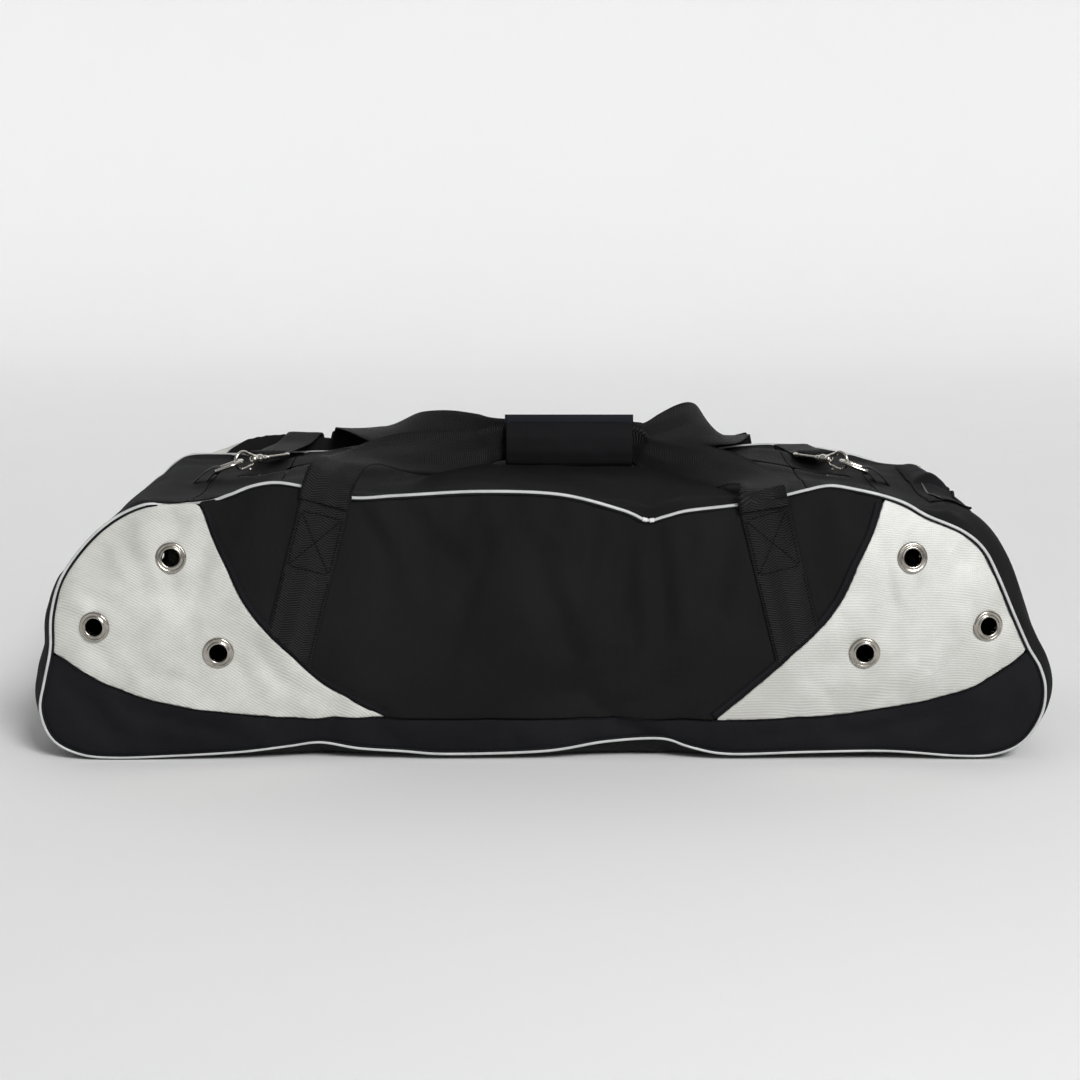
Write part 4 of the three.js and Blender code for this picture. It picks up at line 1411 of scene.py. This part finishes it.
def strap():
    """The strap's webbing, from both hooks over the rear edge and down to the pad."""
    low_part = [
        (262, 217, 205, 0.94, 0.22, -0.3), (246, 216, 165, 0.86, 0.25, -0.45),
        (216, 215, 124, 0.7, 0.28, -0.7), (176, 215, 92, 0.48, 0.3, -0.86),
        (125, 214.5, 73, 0.25, 0.3, -0.95),
    ]
    at_eye = [(STRAP_X, 58, 279.4, 1, 0, 0), (STRAP_X, 62, 278.8, 1, 0, 0)]
    over_roll = at_eye + [
        (296, 92, 273.5, 1, 0, 0), (290, 132, 272.5, 1, 0.05, 0), (281, 172, 273, 1, 0.08, 0),
        (274, 194, 278, 1, 0.1, 0), (270, 206, 281, 1, 0.12, 0), (268, 215, 276, 1, 0.14, 0),
        (267, 219, 262, 1, 0.16, -0.05), (266, 219, 238, 0.98, 0.18, -0.15),
    ]
    over_edge = at_eye + [
        (298, 90, 272, 1, 0, 0), (296, 140, 268, 1, 0.05, 0), (288, 186, 268, 1, 0.12, 0),
        (284, 204, 267, 1, 0.14, 0), (281, 214, 257, 1, 0.16, -0.05),
        (274, 217, 234, 0.97, 0.2, -0.2),
    ]
    left = [(-x, y, z, -a, b, c, 38) for x, y, z, a, b, c in over_roll + low_part]
    right = [(x, y, z, a, b, c, 38) for x, y, z, a, b, c in (over_edge + low_part)[::-1]]
    left.append((0, 214, 62, 0, 0.3, -0.95, 38))
    band("shoulder_strap_webbing", left + right, 1.8, 220, WEBBING, "shoulder_strap",
         ["strap_webbing"])
    round_bar = [
        (18, -5.6), (8, -4.0), (1, -3.2), (-3.2, 0), (1, 3.2), (8, 1.4), (24, -3.2), (44, -6.0),
    ]
    for side, end in END.items():
        wrap = [(side * STRAP_X, STRAP_BAR_Y + y, RING_END_Z + z, 1, 0, 0, 37.5)
                for y, z in round_bar]
        band(f"strap_eye_fold_{end}", wrap, 1.7, 44, WEBBING, "shoulder_strap", cells=6)


def pad():
    """The quilted shoulder pad, in silver cloth, slightly bowed along the strap."""
    low, high = cad("shoulder_pad")
    count, cells = 44, 12
    xs = np.linspace(low[0] + 4, high[0] - 4, 7)
    rows = even([(x, 222.6, 64.6 + 9 * (x / 130) ** 2, 0, 0.3, -0.95) for x in xs], count)
    middle, side = rows[:, :3], unit(rows[:, 3:6])
    along = unit(np.gradient(middle, axis=0))
    face = np.cross(along, side)
    verts = []
    spots = np.linspace(-1, 1, cells + 1)
    section = [(a, 1) for a in spots] + [(a, -1) for a in spots[::-1]]
    for i in range(count):
        t = 2 * i / (count - 1) - 1
        taper = 1 - 0.22 * abs(t) ** 8
        for a, b in section:
            quilt = 0.72 + 0.28 * abs(math.sin(i * math.pi / 5.5)) ** 0.5
            thick = 5.4 * (1 - abs(a) ** 4 * 0.75) * (1 - abs(t) ** 10 * 0.6)
            thick *= quilt if b < 0 else 1
            verts.append(middle[i] + side[i] * a * 28.5 * taper + face[i] * b * thick)
    piece = make("shoulder_pad_cushion", verts, skin(count, len(section)), SILVER[1],
                 "shoulder_strap", ["shoulder_pad"])
    subdivide(piece)


def adjuster():
    """A slide frame on the part of the strap that hangs down behind the bag."""
    low, high = cad("strap_adjuster")
    middle = np.array([-266, 220.6, (low[2] + high[2]) / 2])
    half_x, half_z = (high[0] - low[0]) / 2 - 1.6, (high[2] - low[2]) / 2 - 1.6
    outline = [(-1, -0.75), (-0.85, -1), (0, -1), (0.85, -1), (1, -0.75), (1, 0), (1, 0.75),
               (0.85, 1), (0, 1), (-0.85, 1), (-1, 0.75), (-1, 0)]

    def place(across, up):
        return middle + np.array([across * half_x, -across * half_x * 0.18, up * half_z])

    frame_line = [place(*spot) for spot in outline]
    wire("adjuster_frame", frame_line, 96, 1.6, "strap_adjuster", ["strap_adjuster"])
    bar = [place(across, 0) for across in np.linspace(-1, 1, 12)]
    tube("adjuster_bar", bar, 1.6, NICKEL, "strap_adjuster")


strap()
pad()
adjuster()

# ---------------------------------------------------------------- end pocket


def end_pocket():
    """A zip across the right end, with a raised cover whose edge carries a cord."""
    tilt = math.radians(25.5)
    origin = np.array([414.0, 0, 243.6])
    down_slope = np.array([math.cos(tilt), 0, -math.sin(tilt)])
    outward = np.array([math.sin(tilt), 0, math.cos(tilt)])

    @functools.cache
    def surface(down, y):
        """Height of the bare cloth over the pocket's sloping plane."""
        start = origin + down_slope * down + outward * 60 + np.array([0, y, 0])
        hit = shell_tree.ray_cast(Vector(start), Vector(-outward))
        return float((np.array(hit[0]) - origin) @ outward) if hit[0] is not None else 0.0

    def place(down, y, out):
        """A point down the slope from the zip, out from the cloth."""
        seat = surface(round(float(down) / 4) * 4, round(float(y) / 4) * 4) + CLOTH
        return origin + down_slope * down + outward * (seat + out - 2.0) + np.array([0, y, 0])

    tape = [(*place(0, y, 1.2), *down_slope, 26) for y in np.linspace(-130, 130, 12)]
    band("end_pocket_tape", tape, 1.2, 90, ZIP, "root", ["end_pocket_zip"], cells=4)
    teeth("end_pocket_coil", -128, 128, "root", lambda x, y, up: tuple(place(y, x, 1.8 + up)))
    columns, rows, half = 60, 12, 134
    verts = []
    for c in range(columns + 1):
        t = 2 * c / columns - 1
        for r in range(rows + 1):
            v = r / rows
            arch = np.interp(v, [0, 0.08, 0.3, 0.42, 0.75, 1], [0, 0.62, 1, 0.96, 0.5, 0.1])
            spots, heights = [-half, -6, 2, 40, 110, half], [0.12, 0.16, 1, 0.9, 0.5, 0.1]
            raised = np.interp(t * half, spots, heights)
            out = 3.4 + 12.5 * arch * raised + 0.5 * noise.noise(Vector((t * 9, v * 3, 2)))
            verts.append(place(-21 + 40 * v, t * half, out))
    faces = [(b, c, d, a) for a, b, c, d in grid_faces(columns, rows)]
    piece = make("end_pocket_cover", verts, faces, WRAP_BLACK, "end_pocket_flap",
                 ["end_pocket_flap"], slot="black_fabric")
    thicken(piece, 1.4)
    rim = [place(19, y, 4.2) for y in np.linspace(-half, half, 60)]
    tube("end_pocket_cover_edge", rim, 1.5, BASE_BLACK, "end_pocket_flap", sides=8)
    body = "end_pocket_slider"
    corners = ((-4.5, 107), (4.5, 107), (4.5, 123), (-4.5, 123))
    spots = [place(down, y, out) for out in (4.6, 7.2) for down, y in corners]
    faces = [(0, 3, 2, 1), (4, 5, 6, 7), (0, 1, 5, 4), (1, 2, 6, 5), (2, 3, 7, 6), (3, 0, 4, 7)]
    bevel(make("end_pocket_slider_body", spots, faces, NICKEL, body, [body]), 0.8)
    outline = (
        (-2.2, 114), (-2.6, 106), (-2.6, 96), (0, 91), (2.6, 96), (2.6, 106), (2.2, 114), (0, 116),
    )
    loop = [place(down, y, 9.5) for down, y in outline]
    wire("end_pocket_pull_loop", loop, 48, 0.9, "end_pocket_pull", ["end_pocket_pull"], sides=8)


end_pocket()

# ---------------------------------------------------------------- floor


def floor():
    """A pale floor that turns up into a plain wall far behind the bag."""
    paint = Paint("floor", 0.95, Specular_IOR_Level=0.1)
    paint.tone(paint.noise(2.0, 2.0), (0.88, 0.88, 0.88), (0.90, 0.90, 0.90))
    bend = 1500.0
    profile = [(-6000.0, -0.3), (3500.0, -0.3)]
    profile += [(3500 + bend * math.sin(t), bend - bend * math.cos(t) - 0.3)
                for t in np.linspace(0.1, math.pi / 2, 14)]
    profile.append((3500 + bend, 7000.0))
    verts = [(x, y, z) for y, z in profile for x in (-9000.0, 9000.0)]
    faces = [(2 * i, 2 * i + 1, 2 * i + 3, 2 * i + 2) for i in range(len(profile) - 1)]
    piece = make("floor", verts, faces, paint.material)


floor()
